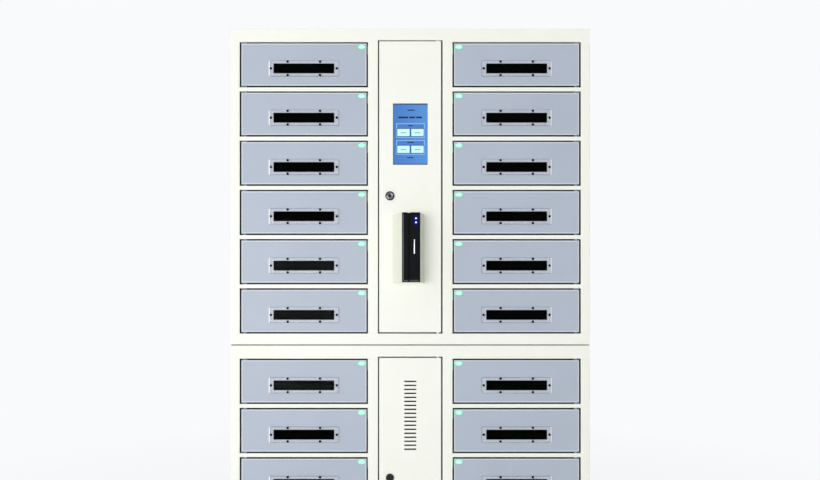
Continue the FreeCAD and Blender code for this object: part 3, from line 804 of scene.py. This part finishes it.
@dataclass(frozen=True)
class Fastener:
    """Round head with a sunk drive, on a face that looks along -Y."""

    radius: float = 2.3 * MM
    height: float = 1.0 * MM
    sides: int = 14
    steps: Tuple[Tuple[float, float], ...] = ((0.3, 0.4), (0.3, 0.15), (0.06, -0.4))

    def model(self, name: str) -> Piece:
        """Head with its seat at the origin."""
        rim = 0.45 * self.height
        head = Bench.disc(name, (0.0, -rim / 2, 0.0), self.radius, rim, self.sides)
        Bench.raised(head, *((a * self.radius, b * self.height) for a, b in self.steps))
        return Bench.smooth(head, 30.0)

    def spread(self, name: str, places: Sequence[Place], angle: float = 0.0) -> Piece:
        """One piece with a head at each place.

        Args:
            name: the piece's name.
            places: where each head sits.
            angle: turn of the heads about Z from looking along -Y.

        Returns:
            The joined piece.
        """
        master = self.model(name + "_head")
        turn = Matrix.Rotation(angle, 4, "Z")
        heads = [Bench.copy(master, name, Matrix.Translation(place) @ turn) for place in places]
        bpy.data.objects.remove(master)
        return Bench.join(name, heads)


@dataclass
class Carcass:
    """Painted cabinets with their plinth and the rivets of the back panels."""

    rivet_inset: float = 7 * MM
    rivet_step: float = 112 * MM
    rivet: Fastener = Fastener(2.6 * MM, 1.0 * MM, 12)
    back_split: float = CABINET_SPLIT
    edge: float = 1.5 * MM
    cable_middle: Place = (0.0, 0.225, 0.135)
    cable_radius: float = 12 * MM
    grommet_lip: float = 3 * MM
    grommet_depth: float = 2 * MM
    grommet_band: float = 5 * MM

    def build(self) -> None:
        """Dress the panels and fit what holds them."""
        for name in ("side_panels", "top_panels", "floor_panels", "back_panels", "partitions",
                     "shelves"):
            dress_node(name, CREAM)
        dress_node("base_plinth", PLINTH_CREAM)
        self.rivets()
        self.grommet()

    def rivets(self) -> None:
        """Blind rivets round the edge of each back panel."""
        low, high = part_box("back_panels")
        spans = ((low.z, self.back_split - self.edge), (self.back_split + self.edge, high.z))
        for word, (bottom, top) in zip(("lower", "upper"), spans):
            places = self.ring(low.x, high.x, bottom, top, high.y)
            heads = self.rivet.spread(f"back_rivets_{word}", places, math.pi)
            place_piece(coat(heads, CREAM), "cabinet")

    def ring(self, left: float, right: float, bottom: float, top: float, y: float) -> List[Place]:
        """Even places round a rectangle, inside its edge."""
        x0, x1 = left + self.rivet_inset, right - self.rivet_inset
        z0, z1 = bottom + self.rivet_inset, top - self.rivet_inset
        columns = round((x1 - x0) / self.rivet_step)
        rows = round((z1 - z0) / self.rivet_step)
        places = []
        for step in range(columns + 1):
            x = x0 + (x1 - x0) * step / columns
            places += [(x, y, z0), (x, y, z1)]
        for step in range(1, rows):
            z = z0 + (z1 - z0) * step / rows
            places += [(x0, y, z), (x1, y, z)]
        return places

    def grommet(self) -> None:
        """Rubber ring in the round cable entry."""
        x, y, z = self.cable_middle
        size = (self.cable_radius + self.grommet_lip, self.grommet_depth, self.grommet_band)
        ring = Bench.ring("cable_grommet", (x, y + self.grommet_depth / 2, z), size, 36)
        Bench.smooth(Bench.rounded(ring, 0.7 * MM, 3))
        place_piece(coat(ring, GROMMET_RUBBER), "cabinet")


@dataclass
class GapShadeStrip:
    """Black rubber strip with a raised rib, stuck to an edge of a door or of its opening, which
    paints the shade deep in the gap.
    """

    thickness: float = 0.8 * MM
    rib: float = 2.4 * MM
    rear_y: float = -210 * MM

    def model(self, across: Sequence[float], heights: Sequence[float], front: float,
              way: float) -> Piece:
        """Strip along X or along Z.

        Args:
            across: where it starts and ends in X; the same twice for an upright strip.
            heights: where it starts and ends in Z; the same twice for a level strip.
            front: Y of its front edge.
            way: +1 or -1, the way it stands up from the edge.

        Returns:
            The new strip.
        """
        upright = across[0] == across[1]
        shift = way * self.thickness / 2
        x, z = sum(across) / 2 + shift * upright, sum(heights) / 2 + shift * (not upright)
        size = (self.thickness if upright else across[1] - across[0], self.rear_y - front,
                heights[1] - heights[0] if upright else self.thickness)
        strip = Bench.block("seal_strip", (x, (front + self.rear_y) / 2, z), size)
        Bench.pick(strip, lambda centre, normal: way * (normal.x if upright else normal.z) > FACING)
        bpy.ops.mesh.inset(thickness=self.rib, depth=0.5 * self.thickness)
        Bench.clear()
        return strip


@dataclass
class BayKit:
    """Small fittings that every bay repeats, modelled once."""

    rivet_places: Tuple[Tuple[float, float], ...] = (
        (-82.5, 0.0), (82.5, 0.0), (-40.5, 17.0), (40.5, 17.0), (-40.5, -17.0), (40.5, -17.0),
    )
    window_half: Tuple[float, float] = (76.0 * MM, 12.25 * MM)
    window_corner: float = 3.5 * MM
    window_bevel: float = 1.2 * MM
    window_slope: float = 1.8 * MM
    lens_half: Place = (8.3 * MM, 1.6 * MM, 4.9 * MM)
    outlet_plate: Place = (64 * MM, 4 * MM, 46 * MM)
    outlet_block: Place = (46 * MM, 10 * MM, 26 * MM)
    port: Place = (13.4 * MM, 6 * MM, 5.8 * MM)
    port_offset: float = 10.5 * MM
    cover: Place = (48 * MM, 1.2 * MM, 62 * MM)
    cover_screws: Tuple[float, float] = (20 * MM, 27 * MM)
    door_lock: float = DOOR_HALF_WIDTH
    door_hinge: float = 144.0 * MM
    door_heights: Tuple[float, float] = (-43.75 * MM, 63.75 * MM)
    seal_front: float = GAP_SHADE_FRONT

    def lock_cover(self) -> Piece:
        """Screwed cover of a lock case, its back at the origin."""
        plate = Bench.plate("lock_cover", self.cover, 4 * MM, 0.4 * MM)
        x, z = self.cover_screws
        places = [(a.value * x, -self.cover[1], b.value * z) for a in Side for b in Side]
        screws = Fastener(1.9 * MM, 0.9 * MM, 12).spread("lock_screws", places)
        parts = [coat(plate, CASE_ZINC), coat(screws, BRIGHT_NICKEL)]
        return Bench.join("lock_cover", parts)

    def window(self, side: Side) -> Piece:
        """Acrylic plate for one side's doors, its back at the origin.

        Args:
            side: side of the locker, whose outer end of the plate has a broad frosted slope.

        Returns:
            The plate with hazy margins, a grey rim and a dark-tinted middle that paints the shade
            of the bay behind the slot.
        """
        low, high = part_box("window_right_01")
        size = tuple(high - low)
        plate = Bench.plate(f"window_plate_{side.word}", size, self.window_corner,
                            self.window_bevel)
        end = size[0] / 2 - self.window_bevel - self.window_corner
        Bench.pick_edges(plate, lambda a, b: all(
            point.y < 0.1 * MM - size[1] and side.value * point.x > end for point in (a, b)))
        bpy.ops.transform.translate(value=(-side.value * self.window_slope, 0.0, 0.0))
        Bench.clear()
        half_width, half_height = self.window_half
        for edge in Side:
            Bench.sliced(plate, (edge.value * half_width, 0.0, 0.0), (1.0, 0.0, 0.0))
            Bench.sliced(plate, (0.0, 0.0, edge.value * half_height), (0.0, 0.0, 1.0))
        coat(plate, CLEAR)
        for finish in (SLOT_SHADE_TINT, FROSTED, RIM):
            plate.data.materials.append(material_of(finish))
        for face in plate.data.polygons:
            middle = abs(face.center.x) < half_width and abs(face.center.z) < half_height
            sloping = abs(face.normal.y) < 0.98
            outer = side.value * face.normal.x > 0.2
            face.material_index = (2 if outer else 3) if sloping else 1 if middle else 0
        return plate

    def door_seal(self, side: Side) -> Piece:
        """Black strips on the lock, bottom and top edge of a door of one side, about its window,
        which paint the shade of its gaps.
        """
        lock, hinge = (-side.value * self.door_lock, side.value * self.door_hinge)
        bottom, top = self.door_heights
        span = sorted((lock, hinge))
        strip = GapShadeStrip()
        strips = [strip.model(span, (z, z), self.seal_front, way)
                  for z, way in ((bottom, -1.0), (top, 1.0))]
        strips.append(strip.model((lock, lock), (bottom, top), self.seal_front, -side.value))
        return coat(Bench.join(f"door_seal_{side.word}", strips), GAP_SHADE_RUBBER)

    def rivets(self) -> Piece:
        """Six black rivets round a window, about its middle."""
        places = [(x * MM, 0.0, z * MM) for x, z in self.rivet_places]
        return coat(Fastener(3.1 * MM, 1.1 * MM).spread("window_rivets", places), RIVET_BLACK)

    def lens(self) -> Piece:
        """Domed oval lens with its back at the origin."""
        lens = Bench.dome("lamp_lens", (0.0, 0.0, 0.0), self.lens_half, 28)
        return coat(Bench.smooth(lens, 60.0), LAMP_GREEN)

    def outlet(self) -> Piece:
        """Charging outlet with two ports, its back at the origin."""
        width, depth, height = self.outlet_plate
        plate = Bench.block("outlet", (0.0, -depth / 2, 0.0), self.outlet_plate)
        Bench.rounded(Bench.raised(plate, (1.6 * MM, 0.5 * MM)), 1.2 * MM, 3)
        block_y = -depth - self.outlet_block[1] / 2
        block = Bench.block("outlet_block", (0.0, block_y, 0.0), self.outlet_block)
        Bench.rounded(block, 1.5 * MM, 3)
        face = -depth - self.outlet_block[1]
        parts = [coat(plate, OUTLET_WHITE), coat(block, OUTLET_WHITE)]
        for side in Side:
            x = side.value * self.port_offset
            mouth = (x, face + self.port[1] / 2 - 0.5 * MM, 0.0)
            Bench.cut(block, Bench.block("port_cutter", mouth, self.port))
            parts += self.port_insert(x, face)
        screws = Fastener(2.2 * MM, 0.9 * MM).spread("outlet_screws", [
            (side.value * (width / 2 - 5 * MM), -depth - 0.4 * MM, 0.0) for side in Side])
        coat(block, OUTLET_WHITE)
        return Bench.smooth(Bench.join("outlet", parts + [coat(screws, BRIGHT_NICKEL)]), 30.0)

    def port_insert(self, x: float, face: float) -> List[Piece]:
        """Metal shell and black tongue of one port."""
        wide, deep, tall = self.port
        shell = Bench.block("port_shell", (x, face + deep / 2, 0.0), (wide, deep - 1.2 * MM, tall))
        Bench.pick(shell, lambda centre, normal: normal.y < -FACING)
        bpy.ops.mesh.inset(thickness=0.4 * MM)
        inwards = (0.0, deep - 2 * MM, 0.0)
        bpy.ops.mesh.extrude_region_move(TRANSFORM_OT_translate={"value": inwards})
        Bench.clear()
        tongue = Bench.block("port_tongue", (x, face + 0.6 * deep, 1.1 * MM),
                             (wide - 2 * MM, 0.7 * deep, 1.5 * MM))
        return [coat(shell, BRIGHT_NICKEL), coat(Bench.rounded(tongue, 0.25 * MM, 1), PORT_BLACK)]


@dataclass
class Bay:
    """One bay: its door, window, rivets, lamp lens and outlet."""

    side: Side
    number: int
    lens_offset: Tuple[float, float] = (144.5 * MM, 54.75 * MM)
    outlet_offset: Tuple[float, float] = (98.5 * MM, 10.0 * MM)
    cover_offset: Tuple[float, float] = (140.5 * MM, 23.75 * MM)
    cover_y: float = -174 * MM
    film: float = 0.15 * MM

    @property
    def tag(self) -> str:
        """Side and number as the nodes are named."""
        return f"{self.side.word}_{self.number:02d}"

    def middle(self) -> Vector:
        """Middle of the window plate's front."""
        low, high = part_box(f"window_{self.tag}")
        return Vector(((low.x + high.x) / 2, low.y, (low.z + high.z) / 2))

    def beside(self, offset: Tuple[float, float], y: float) -> Matrix:
        """Shift to a place towards the lock side of the window."""
        middle = self.middle()
        return Matrix.Translation((middle.x - self.side.value * offset[0], y, middle.z + offset[1]))

    def build(self, window: Piece, rivets: Piece, lens: Piece, seal: Piece) -> None:
        """Dress the door and place its fittings.

        Args:
            window: the window plate to copy.
            rivets: the rivets to copy.
            lens: the lens to copy.
            seal: the door's black gap strips, painted shade, to copy.
        """
        body = f"bay_door_{self.tag}"
        dress_node(f"door_{self.tag}", DOOR_GREY)
        dress_node(f"window_{self.tag}", CLEAR)
        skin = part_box(f"window_{self.tag}")[1].y
        seat = self.beside((0.0, 0.0), skin - self.film)
        plate = Bench.copy(window, f"window_plate_{self.tag}", seat)
        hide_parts(f"window_{self.tag}")
        place_piece(plate, body)
        heads = Bench.copy(rivets, f"window_rivets_{self.tag}", Matrix.Translation(self.middle()))
        place_piece(heads, body)
        strips = Bench.copy(seal, f"door_seal_{self.tag}", self.beside((0.0, 0.0), 0.0))
        place_piece(strips, body)
        dome = Bench.copy(lens, f"lamp_lens_{self.tag}", self.beside(self.lens_offset, skin))
        place_piece(dome, "cabinet")

    def outlet(self, master: Piece) -> Piece:
        """The bay's outlet, which joins the others."""
        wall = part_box("bay_outlets")[1].y
        return Bench.copy(master, f"outlet_{self.tag}", self.beside(self.outlet_offset, wall))

    def lock_cover(self, master: Piece) -> Piece:
        """The cover of the bay's lock, which joins the others."""
        turn = Matrix.Rotation(self.side.value * math.pi / 2, 4, "Z")
        seat = self.beside(self.cover_offset, self.cover_y)
        return Bench.copy(master, f"lock_cover_{self.tag}", seat @ turn)


@dataclass
class BayBlock:
    """All bays with what they share."""

    def build(self) -> None:
        """Dress the locks and lamps, and build every bay."""
        dress_node("bay_locks", CASE_ZINC)
        dress_node("bay_lamps", GUIDE_GREEN)
        kit = BayKit()
        bays = [Bay(side, number) for side in Side for number in range(1, BAY_COUNT + 1)]
        windows = {side: kit.window(side) for side in Side}
        gap_shades = {side: kit.door_seal(side) for side in Side}
        rivets, lens, outlet, cover = kit.rivets(), kit.lens(), kit.outlet(), kit.lock_cover()
        for bay in bays:
            bay.build(windows[bay.side], rivets, lens, gap_shades[bay.side])
        charging = Bench.join("charging_outlets", [bay.outlet(outlet) for bay in bays])
        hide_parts("bay_outlets")
        place_piece(charging, "cabinet")
        covers = Bench.join("lock_covers", [bay.lock_cover(cover) for bay in bays])
        place_piece(covers, "cabinet")
        for master in (*windows.values(), *gap_shades.values(), rivets, lens, outlet, cover):
            bpy.data.objects.remove(master)


@dataclass
class GapShadeLining:
    """Black rubber strips that line the door openings a little behind the doors' front edges,
    painting the shade of the gaps.
    """

    front_y: float = GAP_SHADE_FRONT
    lintel_y: float = -219 * MM
    bay_lock: float = 160.5 * MM
    bay_hinge: float = 161.0 * MM
    bay_heights: Tuple[float, float] = (-46.75 * MM, 66.75 * MM)
    lamp_room: float = 30 * MM
    pin_room: float = 17 * MM
    column_half: float = 81 * MM
    column_heights: Tuple[Tuple[float, float], ...] = (
        (UPPER_SILL, 1373 * MM), (LOWER_SILL, 579 * MM))

    def build(self) -> None:
        """Line every opening."""
        rings = [self.ring(Side.RIGHT, (-self.column_half, self.column_half), heights, 0.0)
                 for heights in self.column_heights]
        for side in Side:
            span = sorted((-side.value * self.bay_lock, side.value * self.bay_hinge))
            master = self.ring(side, span, self.bay_heights, self.lamp_room)
            for number in range(1, BAY_COUNT + 1):
                middle = Bay(side, number).middle()
                shift = Matrix.Translation((middle.x, 0.0, middle.z))
                rings.append(Bench.copy(master, "seal", shift))
            bpy.data.objects.remove(master)
        gap_shades = coat(Bench.join("door_seals", rings), GAP_SHADE_RUBBER)
        place_piece(gap_shades, "cabinet")

    def ring(self, hinge: Side, across: Sequence[float], heights: Sequence[float],
             lamp_room: float) -> Piece:
        """Four strips round one opening.

        Args:
            hinge: side of the opening that the door turns on.
            across: left and right edge of the opening.
            heights: bottom and top of the opening.
            lamp_room: height left free for a lamp at the top of the lock side.

        Returns:
            The strips as one piece.
        """
        left, right = across
        bottom, top = heights
        near = left + (self.pin_room if hinge is Side.LEFT else 0.0)
        far = right - (self.pin_room if hinge is Side.RIGHT else 0.0)
        strip = GapShadeStrip()
        strips = [strip.model((near, far), (bottom, bottom), self.front_y, 1.0),
                  strip.model((near, far), (top, top), self.lintel_y, -1.0)]
        for x, side in ((left, Side.LEFT), (right, Side.RIGHT)):
            room = strip.thickness if side is hinge else lamp_room
            strips.append(strip.model((x, x), (bottom, top - room), self.front_y, -side.value))
        return Bench.join("seal_ring", strips)


@dataclass
class ControlColumn:
    """Control door with its screen, card reader and cam lock, and the board behind it."""

    lamp_places: Tuple[Tuple[float, float], ...] = (
        (11.9 * MM, -15.1 * MM), (11.9 * MM, -25.0 * MM))
    lamp_half: Place = (1.9 * MM, 1.1 * MM, 1.9 * MM)
    rosette: Place = (8.8 * MM, 0.6 * MM, 2.3 * MM)
    plug_ring: Place = (5.9 * MM, 0.6 * MM, 1.9 * MM)
    keyhole: Place = (1.7 * MM, 0.6 * MM, 6.6 * MM)
    stripe_place: Tuple[float, float] = (8.0 * MM, -83.5 * MM)
    stripe_size: Place = (2.5 * MM, 0.8 * MM, 35 * MM)
    highlight_bead_width: float = 0.9 * MM
    highlight_bead_inset: float = 3.6 * MM
    guide_step: float = 1.5 * MM
    slot_offset: Tuple[float, float] = (-6.5 * MM, -3.5 * MM)

    def build(self) -> None:
        """Dress the door and fit the lock's rings, the reader's trim with its painted highlight and
        the board's front.
        """
        dress_node("control_door", CREAM)
        dress_node("card_reader_mount", HOOD_SHADED_CREAM)
        dress_node("control_lock_barrel", BEZEL_NICKEL)
        dress_node("control_lock_plug", NICKEL)
        dress_node("control_board", CASE_ALUMINIUM)
        dress_node("touchscreen", self.screen())
        self.lock()
        self.reader()
        Electronics("control_board", TERMINAL_GREEN, 10, -78 * MM,
                    (100 * MM, 2.4 * MM, 128 * MM), 12 * MM).build()

    def lock(self) -> None:
        """Rings on the lock's bezel and on its plug, and a black insert that paints the shade
        inside the keyhole.
        """
        low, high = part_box("control_lock_barrel")
        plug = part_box("control_lock_plug")[0].y
        x, z = (low.x + high.x) / 2, (low.z + high.z) / 2
        rings = (("lock_rosette", low.y, self.rosette, "control_door"),
                 ("lock_plug_ring", plug, self.plug_ring, "control_lock"))
        for name, seat, size, body in rings:
            ring = Bench.ring(name, (x, seat - size[1] / 2, z), size, 40)
            Bench.smooth(Bench.rounded(ring, 0.25 * MM, 2))
            place_piece(coat(ring, RING_NICKEL), body)
        # Black block in the keyway: painted shade of the hole.
        hole = Bench.block("keyhole", (x, plug + self.keyhole[1], z), self.keyhole)
        Bench.raised(hole, (0.3 * MM, -0.3 * MM))
        place_piece(coat(hole, KEYHOLE_SHADE), "control_lock")

    def screen(self) -> ScreenFace:
        """Display with two framed groups of blank buttons."""
        low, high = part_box("touchscreen")
        middle = ((low.x + high.x) / 2, low.y, (low.z + high.z) / 2)
        ink, pale, button = tone(10, 18, 52), tone(146, 192, 250), tone(206, 253, 251)
        edge, soft = tone(24, 56, 112), tone(110, 150, 190)
        # The first two bars, dim bands along the top and bottom edges, paint the shade of the
        # door's cutout edge on the picture.
        bars = [Bar(0.0, 74.8, 85.2, 2.8, tone(62, 88, 128)),
                Bar(0.0, -75.2, 85.2, 2.0, tone(52, 86, 146)), Bar(2.0, 60.4, 18.0, 2.6, ink)]
        for x, width in ((-17.5, 25.0), (5.0, 15.0), (22.0, 15.0)):
            bars.append(Bar(x, 42.1, width, 4.2, ink))
        for top, label in ((27.3, 11.0), (-14.8, 17.0)):
            bars.append(Bar(0.6, top - 18.1, 71.2, 36.2, pale))
            bars.append(Bar(0.6, top - 18.1, 67.6, 32.6, tone(70, 126, 202)))
            bars.append(Bar(0.6, top - 5.8, label, 2.4, ink))
            for x in (-16.9, 18.1):
                bars.append(Bar(x, top - 23.1, 33.8, 21.2, edge))
                bars.append(Bar(x, top - 23.1, 31.0, 18.2, button))
                bars.append(Bar(x, top - 23.6, 14.0, 1.8, soft))
        bars.append(Bar(0.0, -58.9, 16.0, 2.4, ink))
        return ScreenFace("screen_picture", middle, low.y, tone(66, 122, 200), tone(84, 146, 218),
                          tone(8, 10, 16), tuple(bars))

    def reader(self) -> None:
        """Reader's plastic, its two lamps, the plain stripe and the pale bead of painted highlight
        round its edge.
        """
        low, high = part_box("card_reader")
        middle, top, face = (low.x + high.x) / 2, high.z, low.y
        lamps = tuple((middle + x, face, top + z) for x, z in self.lamp_places)
        dress_node("card_reader", Moulding("reader_plastic", tone(8, 10, 12), 0.5, 0.8 * MM,
                                           0.12 * MM, 0.07, lamps, tone(6, 12, 215), 7.5 * MM))
        domes = [Bench.dome(f"reader_lamp_{k}", place, self.lamp_half, 20)
                 for k, place in enumerate(lamps)]
        pair = coat(Bench.smooth(Bench.join("reader_lamps", domes), 60.0), READER_BLUE)
        place_piece(pair, "control_door")
        x, z = middle + self.stripe_place[0], top + self.stripe_place[1]
        seat = face - self.stripe_size[1] / 2 + 0.1 * MM
        stripe = Bench.block("reader_stripe", (x, seat, z), self.stripe_size)
        Bench.raised(stripe, (0.6 * MM, 0.15 * MM))
        Bench.smooth(Bench.rounded(stripe, 0.3 * MM, 2))
        place_piece(coat(stripe, STRIPE_SILVER), "control_door")
        self.highlight_bead(low, high)

    def highlight_bead(self, low: Vector, high: Vector) -> None:
        """Raised pale bead inside the left and lower edges of the reader's face, a painted
        highlight where its edge faces the light.

        Args:
            low, high: corners of the reader's box.
        """
        left, right = low.x + self.highlight_bead_inset, high.x - self.highlight_bead_inset
        bottom, top = low.z + self.highlight_bead_inset, high.z - self.highlight_bead_inset
        guide = low.y + self.guide_step
        slot_left, slot_right = ((low.x + high.x) / 2 + x for x in self.slot_offset)
        spans = (
            (left, left, bottom, top, guide),
            (left, slot_left, bottom, bottom, guide),
            (slot_right, right, bottom, bottom, low.y),
        )
        runs = []
        for number, (x0, x1, z0, z1, y) in enumerate(spans):
            size = (max(x1 - x0, self.highlight_bead_width), self.highlight_bead_width, max(z1 - z0, self.highlight_bead_width))
            run = Bench.block(f"reader_bead_{number}", ((x0 + x1) / 2, y, (z0 + z1) / 2), size)
            runs.append(Bench.rounded(run, 0.3 * self.highlight_bead_width, 2))
        highlight_bead = coat(Bench.smooth(Bench.join("reader_bead", runs)), BEAD_HIGHLIGHT_GREY)
        place_piece(highlight_bead, "control_door")


@dataclass
class Electronics:
    """Terminals, lid and screws on one of the cases behind the doors."""

    node: str
    plastic: Moulding
    ways: int
    terminal_height: float
    lid: Place
    lid_height: float
    ear: float = 6 * MM
    ear_screw: float = 20 * MM
    ear_sheet: float = 2 * MM
    lid_screw: float = 6 * MM
    way: Place = (8.6 * MM, 11 * MM, 15 * MM)

    def build(self) -> None:
        """Fit the case's front and its fixing ears."""
        low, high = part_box(self.node)
        x, z = (low.x + high.x) / 2, (low.z + high.z) / 2
        lid = Bench.plate(f"{self.node}_lid", self.lid, 5 * MM, 0.8 * MM)
        lid.data.transform(Matrix.Translation((x, low.y, z + self.lid_height)))
        half_width, half_height = (self.lid[k] / 2 - self.lid_screw for k in (0, 2))
        front, level = low.y - self.lid[1], z + self.lid_height
        places = [(x + a.value * half_width, front, level + b.value * half_height)
                  for a in Side for b in Side]
        places += [(x + a.value * self.ear_screw, high.y - self.ear_sheet, end)
                   for a in Side for end in (low.z + self.ear, high.z - self.ear)]
        screws = Fastener(2.6 * MM, 1.4 * MM).spread(f"{self.node}_screws", places)
        place_piece(coat(lid, CASE_ALUMINIUM), "cabinet")
        place_piece(coat(screws, BRIGHT_NICKEL), "cabinet")
        self.terminals(x, low.y, z + self.terminal_height)

    def terminals(self, x: float, y: float, z: float) -> None:
        """Row of wire terminals, each with a wire mouth and a screw.

        Args:
            x, y, z: middle of the row on the case's front.
        """
        wide, deep, tall = self.way
        master = Bench.block(f"{self.node}_way", (0.0, -deep / 2, 0.0), self.way)
        Bench.rounded(master, 0.5 * MM, 1)
        Bench.pick(master, lambda centre, normal: normal.z < -FACING)
        bpy.ops.mesh.inset(thickness=2.2 * MM)
        bpy.ops.mesh.extrude_region_move(TRANSFORM_OT_translate={"value": (0.0, 0.0, 5 * MM)})
        Bench.clear()
        screw = Fastener(2.4 * MM, 0.8 * MM, 12).model(f"{self.node}_way_screw")
        coat(screw, BRIGHT_NICKEL).data.transform(Matrix.Translation((0.0, -deep, 2.5 * MM)))
        master = Bench.join(f"{self.node}_way", [coat(master, self.plastic), screw])
        first = x - (self.ways - 1) * wide / 2
        shifts = [Matrix.Translation((first + k * wide, y, z)) for k in range(self.ways)]
        row = [Bench.copy(master, f"{self.node}_terminal", shift) for shift in shifts]
        bpy.data.objects.remove(master)
        place_piece(Bench.join(f"{self.node}_terminals", row), "cabinet")


@dataclass
class VentColumn:
    """Vent door with its latch, and the supply behind it."""

    def build(self) -> None:
        """Dress the lower column."""
        dress_node("vent_door", CREAM)
        dress_node("vent_latch", DARK_NICKEL)
        dress_node("power_supply", CASE_ALUMINIUM)
        Electronics("power_supply", PORT_BLACK, 9, 90 * MM,
                    (96 * MM, 2.0 * MM, 56 * MM), 40 * MM).build()


@dataclass
class Studio:
    """Pale floor, soft light from the left and the camera."""

    front: float = -225 * MM
    distance: float = 1.8
    scale: float = 2.507 * MM
    picture: Tuple[int, int] = (820, 480)
    centre_column: float = 410.25
    top_row: float = 28.8
    eye_row: float = 308.0
    backdrop: Colour = tone(249, 250, 251)
    floor_glow: float = 0.88
    floor_near: float = 0.9
    floor_far: float = 2.4
    ambient: float = 0.56
    ambient_lean: float = 0.42
    back_fill: float = 0.5
    key_power: float = 89.0
    key_size: float = 2.0
    key_place: Place = (-1.45, -3.8, 0.4)
    key_target: Place = (0.0, -0.2, 0.75)
    floor_size: float = 30.0
    sensor: float = 36.0

    def build(self) -> None:
        """Set up everything that isn't the object."""
        bpy.context.scene.view_settings.view_transform = "Standard"
        self.floor()
        self.world()
        self.lamp("key_light", self.key_place, self.key_target, self.key_size, self.key_power)
        self.camera()

    def seen_directly(self, nodes: Nodes) -> Wire:
        """1 for rays of the camera, of mirrors and of glass."""
        rays = nodes.add("ShaderNodeLightPath", {}, {}, "Is Camera Ray").socket.node.outputs
        names = ("Is Camera Ray", "Is Glossy Ray", "Is Transmission Ray")
        camera, glossy, passed = (Wire(nodes, rays[name]) for name in names)
        return (camera + glossy + passed).clamped()

    def floor(self) -> None:
        """Wide pale floor that keeps a faint shadow and runs into the backdrop."""
        Bench.clear()
        bpy.ops.mesh.primitive_plane_add(size=self.floor_size, location=(0.0, 0.0, -0.5 * MM))
        floor = Bench.settle("floor")
        nodes = Nodes.named("pale_floor")
        matt = nodes.add("ShaderNodeBsdfDiffuse", {}, {"Color": (0.9, 0.9, 0.9, 1.0)})
        white = nodes.add("ShaderNodeEmission", {}, {"Color": self.backdrop, "Strength": 1.0})
        reach = nodes.add("ShaderNodeVectorMath", {"operation": "LENGTH"}, {0: nodes.place()},
                          "Value")
        fade = ((reach - self.floor_near) / (self.floor_far - self.floor_near)).clamped()
        share = self.seen_directly(nodes) * (self.floor_glow + fade * (1.0 - self.floor_glow))
        mixed = nodes.add("ShaderNodeMixShader", {}, {0: share, 1: matt, 2: white})
        floor.data.materials.append(nodes.finish(mixed))

    def world(self) -> None:
        """White surroundings that light the object softly."""
        world = bpy.data.worlds.new("studio")
        bpy.context.scene.world = world
        nodes = Nodes(world)
        ray = nodes.add("ShaderNodeTexCoord", {}, {}, "Generated")
        x, y, _ = nodes.axes(ray)
        soft = self.ambient - x * self.ambient_lean + y.clamped() * self.back_fill
        seen = self.seen_directly(nodes)
        level = soft + seen * (1.0 - soft)
        sky = nodes.add("ShaderNodeBackground", {}, {"Color": self.backdrop, "Strength": level})
        nodes.finish(sky, "ShaderNodeOutputWorld")

    def lamp(self, name: str, place: Place, target: Place, size: float, power: float) -> None:
        """Large soft lamp.

        Args:
            name: the lamp's name.
            place: where it stands.
            target: where it points.
            size: its side in metres.
            power: its power in watts.
        """
        data = bpy.data.lights.new(name, "AREA")
        data.shape = "SQUARE"
        data.size = size
        data.energy = power
        lamp = bpy.data.objects.new(name, data)
        lamp.location = place
        lamp.rotation_euler = (Vector(target) - Vector(place)).to_track_quat("-Z", "Y").to_euler()
        bpy.context.scene.collection.objects.link(lamp)

    def camera(self) -> None:
        """Level camera in front of the doors, framed by a small lens shift."""
        data = bpy.data.cameras.new("camera")
        data.sensor_fit = "HORIZONTAL"
        width, height = self.picture
        data.sensor_width = self.sensor
        data.lens = data.sensor_width * self.distance / (width * self.scale)
        data.shift_y = (self.eye_row - height / 2) / width
        camera = bpy.data.objects.new("camera", data)
        eye_x = (width / 2 - self.centre_column) * self.scale
        eye_z = CAD_BOX[1][2] - (self.eye_row - self.top_row) * self.scale
        camera.location = (eye_x, self.front - self.distance, eye_z)
        camera.rotation_euler = (math.pi / 2, 0.0, 0.0)
        bpy.context.scene.collection.objects.link(camera)
        bpy.context.scene.camera = camera


def main() -> None:
    """Build each sub-assembly, then the studio."""
    logging.basicConfig(level=logging.INFO, format="%(message)s")
    for assembly in (Carcass(), BayBlock(), GapShadeLining(), ControlColumn(), VentColumn(), Studio()):
        log.info("building %s", type(assembly).__name__)
        assembly.build()


if __name__ == "__main__":
    main()
